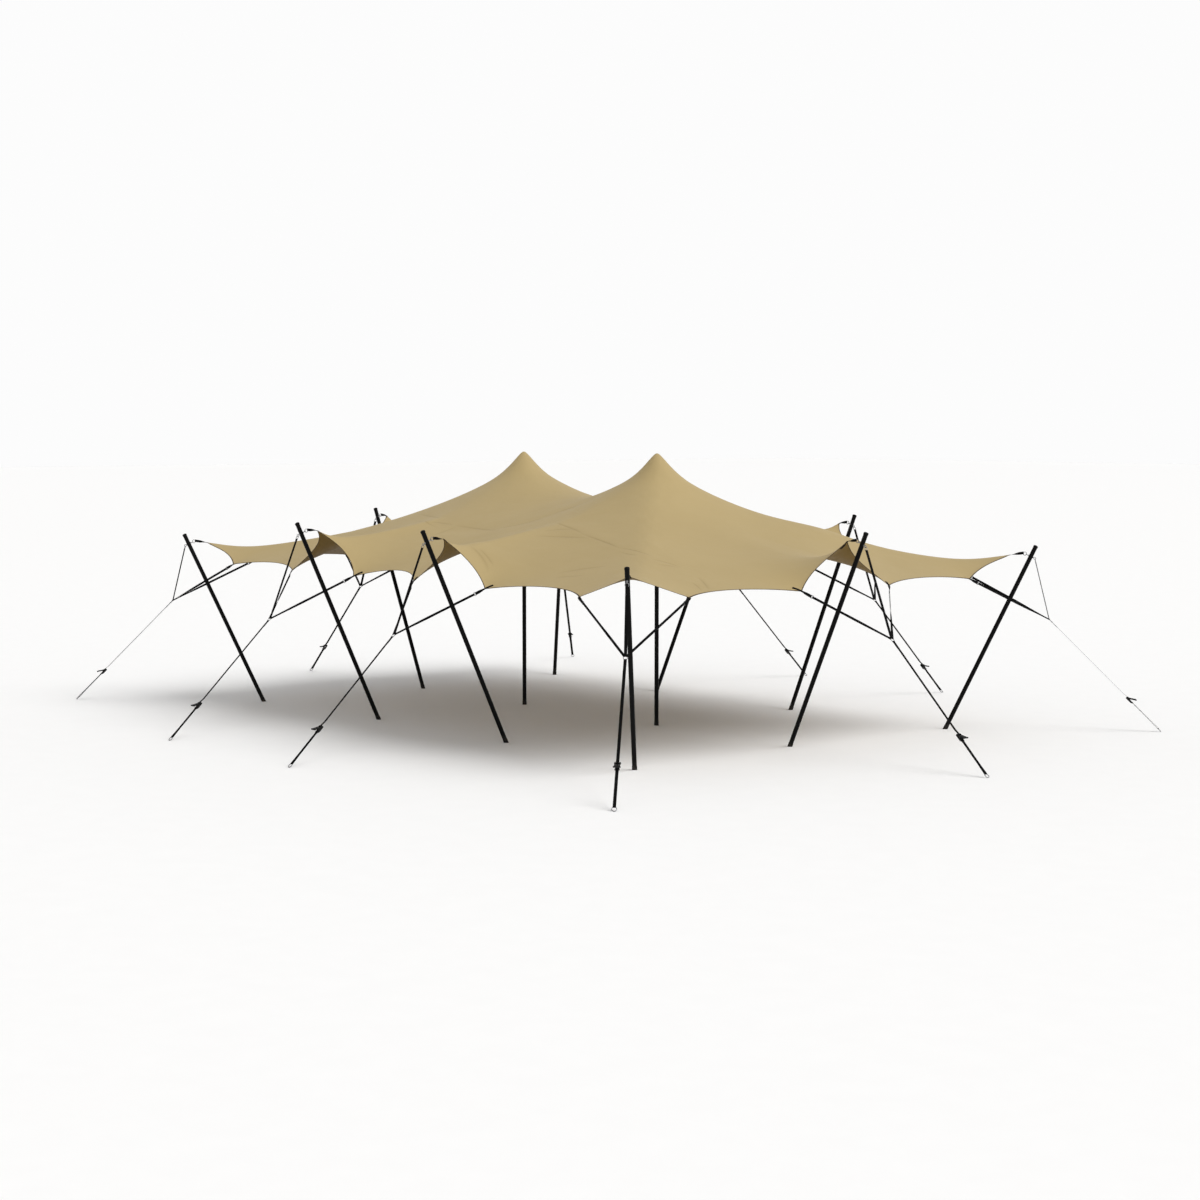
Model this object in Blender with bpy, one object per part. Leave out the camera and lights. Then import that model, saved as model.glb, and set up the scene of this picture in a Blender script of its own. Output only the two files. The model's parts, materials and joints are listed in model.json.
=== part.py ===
"""Stretch tent, 10.5 by 7.5 m: one stretched canopy over two centre poles and ten leaning side poles.

Run with: blender --background --python part.py
Metres, +Z up. The origin is on the ground under the middle of the canopy; X is the tent's long way.
Each side pole stands in the upright plane of its own guy. Its parts are placed in that plane by
how far out they are from the pole's foot and how high they are above the ground.
"""

import math
from dataclasses import dataclass

import bmesh
import bpy
import numpy as np
from mathutils import Matrix, Vector

# Canopy: plan places and heights of the points where it is held
PEAK_X = 1.53
PEAK_HEIGHT = 3.855
PEAK_DOME_RADIUS = 0.10
CORNER_TIP_OUT = 0.869
CORNER_TIP_HEIGHT = 2.45
SIDE_TIP_OUT = 1.02
SIDE_TIP_HEIGHT = 2.77
LOW_HEIGHT = 2.155
CORNER_LOW_ON_LONG_SIDE = (4.13, 3.54)
CORNER_LOW_ON_SHORT_SIDE = (5.08, 2.57)
LONG_LOW_SPREAD = 0.80
LONG_LOW_Y = 3.62
SHORT_LOW_SPREAD = 0.80
SHORT_LOW_X = 5.22
CANOPY_THICKNESS = 0.004

# Canopy: how hard each stretch of cloth pulls, against 1.0 for plain cloth
EDGE_TENSION = 2.15
RIDGE_WIDTH = 0.24
CORNER_RIDGE = 18.0
LONG_RIDGE = 3.0
SHORT_RIDGE = 0.7
SADDLE_STIFFNESS = 2.7
LENGTHWAYS_PULL = 0.92
CLOTH_WEIGHT = 0.23
SOLVER_STEPS = 3000
SOLVER_REST = 1e-14

# Canopy mesh: divisions of each stretch between the columns and rows that hold the fixed points
COLUMN_STEPS = (3, 2, 1, 1, 1, 1, 3, 6, 4)
ROW_STEPS = (1, 1, 3, 6, 3)
PEAK_RING = 0.06
PEAK_SKIRT = 0.17

# Poles
POLE_RADIUS = 0.030
POLE_SIDES = 10
CAP_RADIUS = 0.0325
CAP_LENGTH = 0.035
CAP_DOME = 0.013
FOOT_RADIUS = 0.034
FOOT_LENGTH = 0.055
CORNER_FOOT = (4.40, 2.87)
CORNER_TOP_OUT = 1.222
CORNER_TOP_HEIGHT = 2.585
LONG_FOOT = (1.525, 2.675)
SHORT_FOOT = (4.215, 0.0)
SIDE_TOP_OUT = 1.35
SIDE_TOP_HEIGHT = 2.89
HEAD_RADIUS = 0.050
HEAD_SLOPE = 0.65
HEAD_SKIRT = 0.045
HEAD_RIM = 0.010
HEAD_FLAT = 0.003
HEAD_GAP = 0.0025

# Eye bolt through the head of each side pole
EYE_DROP = 0.17
EYE_BOLT_RADIUS = 0.006
EYE_OUT = 0.060
EYE_RADIUS = 0.015
WIRE_RADIUS = 0.004
LINK_RADIUS = 0.024

# Guy: junction ring, webbing, ratchet and end ring
CORNER_JUNCTION_OUT = 1.431
CORNER_JUNCTION_HEIGHT = 1.540
SIDE_JUNCTION_OUT = 1.812
SIDE_JUNCTION_HEIGHT = 1.557
CORNER_ANCHOR_OUT = 2.95
SIDE_ANCHOR_OUT = 3.372
JUNCTION_RING_RADIUS = 0.025
END_RING_RADIUS = 0.028
END_WIRE_RADIUS = 0.005
WEBBING_WIDTH = 0.038
WEBBING_THICKNESS = 0.0025
SIDE_WEBBING_WIDTH = 0.024
LOOP_THICKNESS = 0.009
SEWN_LOOP_LENGTH = 0.10
TAB_LENGTH = 0.13
TAB_THICKNESS = 0.005
TAB_POINT = 0.0004
TAB_TAPER = 0.030
TAB_GAP = 0.0009
BUCKLE_LENGTH = 0.022
BUCKLE_WIDTH = 0.044
BUCKLE_THICKNESS = 0.009

# Ratchet, measured along the webbing from its spindle towards the ground
RATCHET_PLACE = 0.27
RATCHET_CENTRE = 0.045
ROLL_RADIUS = 0.013
PIN_RADIUS = 0.0055
BOLT_AT = 0.085
BOLT_RADIUS = 0.0055
FRAME_INSIDE = 0.0215
PLATE_THICKNESS = 0.003
FRAME_BACK = 0.018
FRAME_FRONT = 0.098
FRAME_TOP = 0.015
FRAME_BOTTOM = 0.020
FLOOR_FROM = 0.025
FLOOR_TO = 0.070
HANDLE_INSIDE = 0.030
HANDLE_LENGTH = 0.112
HANDLE_HUB_RADIUS = 0.016
HANDLE_WIDTH = 0.013
HANDLE_HOLE_RADIUS = 0.0065
GRIP_RADIUS = 0.008
GRIP_HALF_WIDTH = 0.0435
PIN_END = 0.0345
PIN_CAP_RADIUS = 0.010
PIN_CAP_LENGTH = 0.004
HANDLE_OPEN = math.radians(33.0)

# Touching meshes keep this gap
GAP = 0.0003
# Shapes that are fused reach this far into each other
BITE = 0.0008


@dataclass
class Station:
    """One side pole and its guy, in the upright plane through the pole's foot."""

    name: str
    sides: tuple
    foot: Vector
    out: Vector
    top: tuple
    tip: tuple
    junction: tuple
    anchor_out: float
    lows: tuple

    @property
    def across(self):
        """Level direction across the guy's plane."""
        return Vector((0, 0, 1)).cross(self.out)

    def at(self, out, height):
        """World point in the guy's plane."""
        return self.foot + self.out * out + Vector((0, 0, height))


def stations():
    """All ten side poles, mirrored from one corner, one long-side pole and one short-side pole."""
    found = []
    for side_x, word_x in ((1, "right"), (-1, "left")):
        for side_y, word_y in ((-1, "front"), (1, "back")):
            corner_lows = tuple(
                Vector((side_x * x, side_y * y, LOW_HEIGHT))
                for x, y in (CORNER_LOW_ON_LONG_SIDE, CORNER_LOW_ON_SHORT_SIDE)
            )
            found.append(
                Station(
                    f"corner_{word_y}_{word_x}",
                    (side_x, side_y),
                    Vector((side_x * CORNER_FOOT[0], side_y * CORNER_FOOT[1], 0)),
                    Vector((side_x, side_y, 0)).normalized(),
                    (CORNER_TOP_OUT, CORNER_TOP_HEIGHT),
                    (CORNER_TIP_OUT, CORNER_TIP_HEIGHT),
                    (CORNER_JUNCTION_OUT, CORNER_JUNCTION_HEIGHT),
                    CORNER_ANCHOR_OUT,
                    corner_lows,
                )
            )
            long_lows = tuple(
                Vector((side_x * LONG_FOOT[0] + spread, side_y * LONG_LOW_Y, LOW_HEIGHT))
                for spread in (LONG_LOW_SPREAD, -LONG_LOW_SPREAD)
            )
            found.append(side_station(f"{word_y}_{word_x}", (side_x, side_y), LONG_FOOT, (0, 1), long_lows))
        short_lows = tuple(
            Vector((side_x * SHORT_LOW_X, spread, LOW_HEIGHT))
            for spread in (SHORT_LOW_SPREAD, -SHORT_LOW_SPREAD)
        )
        found.append(side_station(word_x, (side_x, 0), SHORT_FOOT, (1, 0), short_lows))
    return found


def side_station(name, sides, foot, out, lows):
    """A station on a straight side of the tent; foot and out are those of its first quarter."""
    return Station(
        name,
        sides,
        Vector((sides[0] * foot[0], sides[1] * foot[1], 0)),
        Vector((sides[0] * out[0], sides[1] * out[1], 0)),
        (SIDE_TOP_OUT, SIDE_TOP_HEIGHT),
        (SIDE_TIP_OUT, SIDE_TIP_HEIGHT),
        (SIDE_JUNCTION_OUT, SIDE_JUNCTION_HEIGHT),
        SIDE_ANCHOR_OUT,
        lows,
    )


# Materials


def material(name, colour, roughness, metallic=0.0):
    """A plain material with the part's own colour."""
    made = bpy.data.materials.new(name)
    made.use_nodes = True
    shader = made.node_tree.nodes["Principled BSDF"]
    shader.inputs["Base Color"].default_value = (*colour, 1.0)
    shader.inputs["Roughness"].default_value = roughness
    shader.inputs["Metallic"].default_value = metallic
    return made


# Shapes: each returns a bmesh of one closed body


def lathe(start, axis, profile, sides=POLE_SIDES):
    """A turned solid along an axis, from (distance along, radius) pairs that start and end at radius 0."""
    bm = bmesh.new()
    turn = Vector((0, 0, 1)).rotation_difference(axis)
    rings = []
    for along, radius in profile:
        if radius == 0:
            rings.append([bm.verts.new(start + axis * along)])
            continue
        ring = []
        for k in range(sides):
            angle = 2 * math.pi * k / sides
            spoke = turn @ Vector((radius * math.cos(angle), radius * math.sin(angle), along))
            ring.append(bm.verts.new(start + spoke))
        rings.append(ring)
    for lower, upper in zip(rings, rings[1:]):
        for k in range(sides):
            n = (k + 1) % sides
            if len(lower) == 1:
                bm.faces.new((lower[0], upper[n], upper[k]))
            elif len(upper) == 1:
                bm.faces.new((lower[k], lower[n], upper[0]))
            else:
                bm.faces.new((lower[k], lower[n], upper[n], upper[k]))
    return bm


def rod(start, end, radius, sides=8):
    """A round bar with flat ends."""
    length = (end - start).length
    profile = ((0, 0), (0, radius), (length, radius), (length, 0))
    return lathe(start, (end - start).normalized(), profile, sides)


def torus(centre, normal, radius, wire, segments=8, sides=4, stretch=1.0, long_way=None):
    """A closed ring of round wire, which may be stretched to an oval along long_way."""
    bm = bmesh.new()
    first = (long_way or normal.orthogonal()).normalized()
    second = normal.cross(first).normalized()
    rows = []
    for i in range(segments):
        angle = 2 * math.pi * i / segments
        spoke = first * math.cos(angle) + second * math.sin(angle)
        middle = centre + first * (radius * stretch * math.cos(angle)) + second * (radius * math.sin(angle))
        row = []
        for j in range(sides):
            turn = 2 * math.pi * j / sides
            around = spoke * math.cos(turn) + normal * math.sin(turn)
            row.append(bm.verts.new(middle + around * wire))
        rows.append(row)
    for i in range(segments):
        row, after = rows[i], rows[(i + 1) % segments]
        for j in range(sides):
            n = (j + 1) % sides
            bm.faces.new((row[j], after[j], after[n], row[n]))
    return bm


def plate(outline, origin, along, up, across, low, high):
    """A flat outline in the (along, up) plane made a solid between two distances across it."""
    bm = bmesh.new()
    sides = []
    for offset in (low, high):
        place = [origin + along * a + up * b + across * offset for a, b in outline]
        sides.append([bm.verts.new(p) for p in place])
    count = len(outline)
    bm.faces.new(sides[0][::-1])
    bm.faces.new(sides[1])
    for k in range(count):
        n = (k + 1) % count
        bm.faces.new((sides[0][k], sides[0][n], sides[1][n], sides[1][k]))
    bmesh.ops.recalc_face_normals(bm, faces=bm.faces)
    return bm


def tapered(start, along, across, sections):
    """A flat bar along a line; sections are (distance, width, thickness), from one end to the other."""
    along = along.normalized()
    across = (across - along * across.dot(along)).normalized()
    flat = along.cross(across)
    bm = bmesh.new()
    rings = []
    for distance, width, thickness in sections:
        ring = []
        for a, b in ((-1, -1), (1, -1), (1, 1), (-1, 1)):
            corner = across * (a * width / 2) + flat * (b * thickness / 2)
            ring.append(bm.verts.new(start + along * distance + corner))
        rings.append(ring)
    bm.faces.new(rings[0][::-1])
    bm.faces.new(rings[-1])
    for near, far in zip(rings, rings[1:]):
        for k in range(4):
            n = (k + 1) % 4
            bm.faces.new((near[k], near[n], far[n], far[k]))
    bmesh.ops.recalc_face_normals(bm, faces=bm.faces)
    return bm


def strap(start, end, across, width, thickness):
    """Flat webbing from start to end."""
    length = (end - start).length
    return tapered(start, end - start, across, ((0, width, thickness), (length, width, thickness)))


def plain_object(name, bm, finish):
    """A mesh object from a bmesh, which is freed."""
    mesh = bpy.data.meshes.new(name)
    bm.to_mesh(mesh)
    bm.free()
    mesh.materials.append(finish)
    made = bpy.data.objects.new(name, mesh)
    bpy.context.scene.collection.objects.link(made)
    return made


def smooth(piece, angle=35):
    """Smooth shading on round pieces, with real corners kept sharp."""
    piece.data.shade_smooth()
    piece.data.set_sharp_from_angle(angle=math.radians(angle))


def fused(name, shapes, finish):
    """One body from shapes that reach into each other."""
    piece = plain_object(name, shapes[0], finish)
    helpers = bpy.data.collections.new(name + " shapes")
    bpy.context.scene.collection.children.link(helpers)
    for index, shape in enumerate(shapes[1:]):
        helper = plain_object(f"{name} shape {index}", shape, finish)
        bpy.context.scene.collection.objects.unlink(helper)
        helpers.objects.link(helper)
    join = piece.modifiers.new("Join", "BOOLEAN")
    join.operation = "UNION"
    join.solver = "EXACT"
    join.operand_type = "COLLECTION"
    join.collection = helpers
    graph = bpy.context.evaluated_depsgraph_get()
    mesh = bpy.data.meshes.new_from_object(piece.evaluated_get(graph))
    piece.modifiers.clear()
    piece.data = mesh
    for helper in list(helpers.objects):
        bpy.data.objects.remove(helper)
    bpy.data.collections.remove(helpers)
    smooth(piece)
    return piece


# Canopy


def spread(breaks, steps):
    """Places between the breaks, each stretch divided evenly."""
    places = [breaks[0]]
    for low, high, count in zip(breaks, breaks[1:], steps):
        places += [low + (high - low) * k / count for k in range(1, count + 1)]
    return places


def mirrored(half):
    """A list from 0 outwards, continued on the other side."""
    return np.array([-v for v in reversed(half[1:])] + list(half))


def canopy_grid():
    """Columns and rows of the unstretched canopy, and the row or column numbers of its held points."""
    long_low_in = PEAK_X - LONG_LOW_SPREAD
    long_low_out = PEAK_X + LONG_LOW_SPREAD
    column_breaks = (
        0.0,
        long_low_in,
        PEAK_X - PEAK_SKIRT,
        PEAK_X - PEAK_RING,
        PEAK_X,
        PEAK_X + PEAK_RING,
        PEAK_X + PEAK_SKIRT,
        long_low_out,
        CORNER_LOW_ON_LONG_SIDE[0],
        canopy_half_length(),
    )
    row_breaks = (
        0.0,
        PEAK_RING,
        PEAK_SKIRT,
        SHORT_LOW_SPREAD,
        CORNER_LOW_ON_SHORT_SIDE[1],
        canopy_half_width(),
    )
    columns = mirrored(spread(column_breaks, COLUMN_STEPS))
    rows = mirrored(spread(row_breaks, ROW_STEPS))
    return columns, rows


def canopy_half_length():
    """Half the length of the unstretched canopy: out to its corner tips."""
    return CORNER_FOOT[0] + CORNER_TIP_OUT * math.sqrt(0.5)


def canopy_half_width():
    """Half the width of the unstretched canopy: out to its corner tips."""
    return CORNER_FOOT[1] + CORNER_TIP_OUT * math.sqrt(0.5)


def held_points(columns, rows, places):
    """Grid place to world point, for each place where the canopy is held."""
    held = {}

    def hold(x, y, point):
        held[int(np.argmin(abs(columns - x))), int(np.argmin(abs(rows - y)))] = point

    half_length, half_width = canopy_half_length(), canopy_half_width()
    for place in places:
        side_x, side_y = place.sides
        tip = place.at(*place.tip)
        if place.name.startswith("corner"):
            hold(side_x * half_length, side_y * half_width, tip)
            hold(side_x * CORNER_LOW_ON_LONG_SIDE[0], side_y * half_width, place.lows[0])
            hold(side_x * half_length, side_y * CORNER_LOW_ON_SHORT_SIDE[1], place.lows[1])
        elif side_y:
            hold(side_x * PEAK_X, side_y * half_width, tip)
            for low, step in zip(place.lows, (LONG_LOW_SPREAD, -LONG_LOW_SPREAD)):
                hold(side_x * PEAK_X + step, side_y * half_width, low)
        else:
            hold(side_x * half_length, 0.0, tip)
            for low, step in zip(place.lows, (SHORT_LOW_SPREAD, -SHORT_LOW_SPREAD)):
                hold(side_x * half_length, step, low)
    for peak in (-PEAK_X, PEAK_X):
        for step_x in (-PEAK_RING, 0.0, PEAK_RING):
            for step_y in (-PEAK_RING, 0.0, PEAK_RING):
                reach = math.hypot(step_x, step_y)
                drop = PEAK_DOME_RADIUS - math.sqrt(PEAK_DOME_RADIUS**2 - reach**2)
                hold(peak + step_x, step_y, Vector((peak + step_x, step_y, PEAK_HEIGHT - drop)))
    return held


def ridge(x, y, end, pull):
    """Extra pull near the straight run from the peak to a point where the canopy's edge is held."""
    run_x, run_y = end[0] - PEAK_X, end[1]
    along = np.clip(((x - PEAK_X) * run_x + y * run_y) / (run_x**2 + run_y**2), 0.0, 1.0)
    reach = np.hypot(x - PEAK_X - along * run_x, y - along * run_y)
    return pull * np.exp(-((reach / RIDGE_WIDTH) ** 2))


def stiffness(x, y):
    """How hard the cloth pulls at places of the unstretched canopy, for columns x and rows y."""
    x, y = abs(x)[:, None], abs(y)[None, :]
    length, width = canopy_half_length(), canopy_half_width()
    pull = 1.0 + ridge(x, y, (length, width), CORNER_RIDGE)
    pull += ridge(x, y, (PEAK_X, width), LONG_RIDGE)
    pull += ridge(x, y, (length, 0.0), SHORT_RIDGE)
    between = np.clip(x / PEAK_X, 0.0, 1.0) ** 2
    return pull * (SADDLE_STIFFNESS + (1 - SADDLE_STIFFNESS) * between)


def shares(places):
    """Width of the strip of cloth that each grid line stands for."""
    return np.diff(np.concatenate((places[:1], (places[1:] + places[:-1]) / 2, places[-1:])))


def ties(columns, rows):
    """Strength of each tie between neighbours, along the columns' numbers and along the rows' numbers."""
    edge_of_rows, edge_of_columns = np.zeros(len(rows)), np.zeros(len(columns))
    edge_of_rows[[0, -1]] = EDGE_TENSION
    edge_of_columns[[0, -1]] = EDGE_TENSION
    cloth = stiffness((columns[1:] + columns[:-1]) / 2, rows) * LENGTHWAYS_PULL * shares(rows)
    along = (cloth + edge_of_rows) / np.diff(columns)[:, None]
    cloth = stiffness(columns, (rows[1:] + rows[:-1]) / 2) / LENGTHWAYS_PULL * shares(columns)[:, None]
    return along, (cloth + edge_of_columns[:, None]) / np.diff(rows)


def net_pull(points, along, over):
    """Sum of the pulls on each point of the grid by its four neighbours."""
    force = np.zeros_like(points)
    step = (points[1:] - points[:-1]) * along[..., None]
    force[:-1] += step
    force[1:] -= step
    step = (points[:, 1:] - points[:, :-1]) * over[..., None]
    force[:, :-1] += step
    force[:, 1:] -= step
    return force


def stretched_sheet(columns, rows, held):
    """Rest shape of the canopy: each free point balances its weight and the pull of its neighbours.

    It is found by conjugate gradients on the grid itself.
    """
    along, over = ties(columns, rows)
    points = np.zeros((len(columns), len(rows), 3))
    points[..., 0], points[..., 1] = columns[:, None], rows
    free = np.ones((len(columns), len(rows), 1))
    for place, point in held.items():
        points[place] = point
        free[place] = 0.0
    total = np.zeros(free.shape[:2])
    total[:-1] += along
    total[1:] += along
    total[:, :-1] += over
    total[:, 1:] += over
    ease = free / total[..., None]
    rest = net_pull(points, along, over) * free
    rest[..., 2:] -= CLOTH_WEIGHT * np.outer(shares(columns), shares(rows))[..., None] * free
    way = ease * rest
    size = (rest * way).sum()
    for _ in range(SOLVER_STEPS):
        answer = -net_pull(way, along, over) * free
        step = size / (way * answer).sum()
        points += step * way
        rest -= step * answer
        after = (rest * ease * rest).sum()
        if after < SOLVER_REST:
            break
        way = ease * rest + (after / size) * way
        size = after
    return points


def halved(places):
    """The same places with one more halfway between each two."""
    finer = np.empty(2 * len(places) - 1)
    finer[::2] = places
    finer[1::2] = (places[1:] + places[:-1]) / 2
    return finer


def canopy_points(places):
    """Points of the canopy's mesh: every second one of the grid on which the cloth is balanced."""
    columns, rows = (halved(line) for line in canopy_grid())
    return stretched_sheet(columns, rows, held_points(columns, rows, places))[::2, ::2]


def canopy(places, finish):
    """The stretched sheet as a thin closed solid."""
    points = canopy_points(places)
    bm = bmesh.new()
    verts = [[bm.verts.new(p) for p in line] for line in points]
    for near, far in zip(verts, verts[1:]):
        for j in range(len(near) - 1):
            bm.faces.new((near[j], far[j], far[j + 1], near[j + 1]))
    piece = plain_object("canopy", bm, finish)
    skin = piece.modifiers.new("Thickness", "SOLIDIFY")
    skin.thickness = CANOPY_THICKNESS
    skin.offset = 0.0
    smooth(piece, 60)
    return piece


# Poles


def centre_pole(name, x, finish):
    """Upright pole with a sloped head that carries the canopy's peak."""
    top = PEAK_HEIGHT - CANOPY_THICKNESS / 2 - HEAD_GAP
    edge = top - (HEAD_RADIUS - HEAD_FLAT) * HEAD_SLOPE
    profile = (
        (0, 0),
        (0, FOOT_RADIUS),
        (FOOT_LENGTH, FOOT_RADIUS),
        (FOOT_LENGTH, POLE_RADIUS),
        (edge - HEAD_SKIRT, POLE_RADIUS),
        (edge - HEAD_RIM, HEAD_RADIUS),
        (edge, HEAD_RADIUS),
        (top, HEAD_FLAT),
        (top, 0),
    )
    piece = plain_object(name, lathe(Vector((x, 0, 0)), Vector((0, 0, 1)), profile), finish)
    smooth(piece)
    return piece


def leaning_pole(place, finish):
    """Side pole with a level foot, a round cap, and an eye bolt whose inner eye holds the canopy's tip."""
    foot, top = place.at(0, 0), place.at(*place.top)
    axis = (top - foot).normalized()
    square = axis.cross(place.across).normalized()
    if square.dot(place.out) < 0:
        square.negate()
    length = (top - foot).length
    below = FOOT_RADIUS
    profile = (
        (-below, 0),
        (-below, FOOT_RADIUS),
        (FOOT_LENGTH, FOOT_RADIUS),
        (FOOT_LENGTH, POLE_RADIUS),
        (length - CAP_LENGTH, POLE_RADIUS),
        (length - CAP_LENGTH, CAP_RADIUS),
        (length - CAP_DOME, CAP_RADIUS),
        (length, 0),
    )
    shaft = lathe(foot, axis, profile)
    eye_at = top - axis * EYE_DROP
    shank = square * (EYE_OUT - EYE_RADIUS)
    bolt = rod(eye_at - shank, eye_at + shank, EYE_BOLT_RADIUS, 6)
    inner, outer = eye_at - square * EYE_OUT, eye_at + square * EYE_OUT
    shapes = [shaft, bolt]
    for eye in (inner, outer):
        shapes.append(torus(eye, place.across, EYE_RADIUS, WIRE_RADIUS, long_way=square))
    link = inner - square * (EYE_RADIUS + LINK_RADIUS - BITE)
    shapes.append(torus(link, axis, LINK_RADIUS, WIRE_RADIUS, long_way=square))
    tip = place.at(*place.tip)
    hold = link - square * LINK_RADIUS
    toward = (hold - tip).normalized()
    shapes.append(tab(tip, toward, (hold - tip).length, place.across))
    piece = fused("pole_" + place.name, shapes, finish)
    bm = bmesh.new()
    bm.from_mesh(piece.data)
    everything = bm.verts[:] + bm.edges[:] + bm.faces[:]
    cut = bmesh.ops.bisect_plane(bm, geom=everything, plane_co=foot, plane_no=(0, 0, 1), clear_inner=True)
    rim = [part for part in cut["geom_cut"] if isinstance(part, bmesh.types.BMEdge)]
    bmesh.ops.holes_fill(bm, edges=rim)
    bmesh.ops.recalc_face_normals(bm, faces=bm.faces)
    bm.to_mesh(piece.data)
    bm.free()
    return piece, outer


# Guys


def tab(point, away, length, across):
    """Wide webbing whose narrowed end touches the canopy at a point, and which runs away from it."""
    wide = (WEBBING_WIDTH, TAB_THICKNESS)
    sections = ((TAB_GAP, TAB_POINT, TAB_POINT), (TAB_TAPER, *wide), (length, *wide))
    return tapered(point, away, across, sections)


def guy(place, outer_eye, finish):
    """Webbing from the pole's head and two low points of the canopy to a ring, and on to the ratchet."""
    across = place.across
    junction = place.at(*place.junction)
    line = guy_line(place)
    down = (junction - outer_eye).normalized()
    wire = 2 * WIRE_RADIUS + GAP
    link = outer_eye + down * (EYE_RADIUS - wire + LINK_RADIUS)
    shapes = [torus(junction, line.cross(across), JUNCTION_RING_RADIUS, WIRE_RADIUS, long_way=line)]
    shapes.append(torus(link, down.cross(across), LINK_RADIUS, WIRE_RADIUS, long_way=down))
    hold = link + down * LINK_RADIUS
    tie_top = junction - line * JUNCTION_RING_RADIUS
    shapes.append(strap(hold, tie_top, across, WEBBING_WIDTH, LOOP_THICKNESS))
    for low in place.lows:
        shapes += side_strap(place, junction, low)
    tie_low = junction + line * JUNCTION_RING_RADIUS
    sewn = tie_low + line * SEWN_LOOP_LENGTH
    shapes.append(strap(tie_low, sewn + line * BITE, across, WEBBING_WIDTH, LOOP_THICKNESS))
    spindle = spindle_place(place)
    end = spindle - line * (ROLL_RADIUS + GAP)
    shapes.append(strap(sewn, end, across, WEBBING_WIDTH, WEBBING_THICKNESS))
    return fused("guy_" + place.name, shapes, finish)


def side_strap(place, junction, low):
    """Narrow webbing from the junction ring to a buckle, and a wide tab on to a low point of the canopy."""
    square = guy_line(place).cross(place.across)
    level = low - junction
    start = junction + (level - square * level.dot(square)).normalized() * JUNCTION_RING_RADIUS
    toward = (low - start).normalized()
    flat = toward.cross(place.out.cross(toward)).normalized()
    across = toward.cross(flat)
    tab_start = low - toward * TAB_LENGTH
    buckle = tab_start - toward * BUCKLE_LENGTH
    return [
        strap(start, buckle + toward * BITE, across, SIDE_WEBBING_WIDTH, WEBBING_THICKNESS),
        strap(buckle, tab_start + toward * BITE, across, BUCKLE_WIDTH, BUCKLE_THICKNESS),
        tab(low, -toward, TAB_LENGTH, across),
    ]


def end_ring_centre(place):
    """Middle of the ring at the guy's lower end, which lies in the guy's slope and touches the ground."""
    junction = place.at(*place.junction)
    slope = (junction - place.at(place.anchor_out, 0)).normalized()
    reach = END_RING_RADIUS * slope.z + END_WIRE_RADIUS
    return place.at(place.anchor_out, reach)


def guy_line(place):
    """Direction of the guy from the junction ring down to the end ring."""
    return (end_ring_centre(place) - place.at(*place.junction)).normalized()


def spindle_place(place):
    """Middle of the ratchet's spindle."""
    junction, end = place.at(*place.junction), end_ring_centre(place)
    return end + (junction - end) * RATCHET_PLACE - guy_line(place) * RATCHET_CENTRE


def ratchet(place, finish):
    """Ratchet frame with its spindle, webbing roll, bolt, lower webbing and end ring."""
    across, line = place.across, guy_line(place)
    above = above_guy(place)
    spindle = spindle_place(place)
    outline = (
        (-FRAME_BACK, -FRAME_BOTTOM * 0.5),
        (-FRAME_BACK * 0.4, -FRAME_BOTTOM),
        (FRAME_FRONT * 0.7, -FRAME_BOTTOM),
        (FRAME_FRONT, -FRAME_BOTTOM * 0.4),
        (FRAME_FRONT, FRAME_TOP * 0.5),
        (FRAME_FRONT * 0.6, FRAME_TOP * 0.4),
        (FRAME_BACK * 0.6, FRAME_TOP),
        (-FRAME_BACK * 0.6, FRAME_TOP),
    )
    wide = FRAME_INSIDE + PLATE_THICKNESS
    shapes = [plate(outline, spindle, line, above, across, FRAME_INSIDE, wide)]
    shapes.append(plate(outline, spindle, line, above, across, -wide, -FRAME_INSIDE))
    floor = (
        (FLOOR_FROM, -FRAME_BOTTOM),
        (FLOOR_TO, -FRAME_BOTTOM),
        (FLOOR_TO, -FRAME_BOTTOM + PLATE_THICKNESS),
        (FLOOR_FROM, -FRAME_BOTTOM + PLATE_THICKNESS),
    )
    shapes.append(plate(floor, spindle, line, above, across, -FRAME_INSIDE - BITE, FRAME_INSIDE + BITE))
    half = WEBBING_WIDTH / 2
    cap = PIN_END + PIN_CAP_LENGTH
    profile = (
        (-cap, 0),
        (-cap, PIN_CAP_RADIUS),
        (-PIN_END, PIN_CAP_RADIUS),
        (-PIN_END, PIN_RADIUS),
        (-half, PIN_RADIUS),
        (-half, ROLL_RADIUS),
        (half, ROLL_RADIUS),
        (half, PIN_RADIUS),
        (PIN_END, PIN_RADIUS),
        (PIN_END, PIN_CAP_RADIUS),
        (cap, PIN_CAP_RADIUS),
        (cap, 0),
    )
    shapes.append(lathe(spindle, across, profile, 8))
    bolt = spindle + line * BOLT_AT
    shapes.append(rod(bolt - across * (wide + BITE), bolt + across * (wide + BITE), BOLT_RADIUS, 6))
    centre = end_ring_centre(place)
    tie = centre - line * END_RING_RADIUS
    shapes.append(strap(bolt, tie, across, WEBBING_WIDTH, LOOP_THICKNESS))
    shapes.append(torus(centre, line.cross(across), END_RING_RADIUS, END_WIRE_RADIUS, long_way=line))
    return fused("ratchet_" + place.name, shapes, finish)


def above_guy(place):
    """Direction square to the guy, on its upper side."""
    above = guy_line(place).cross(place.across).normalized()
    if above.z < 0:
        above.negate()
    return above


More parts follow.
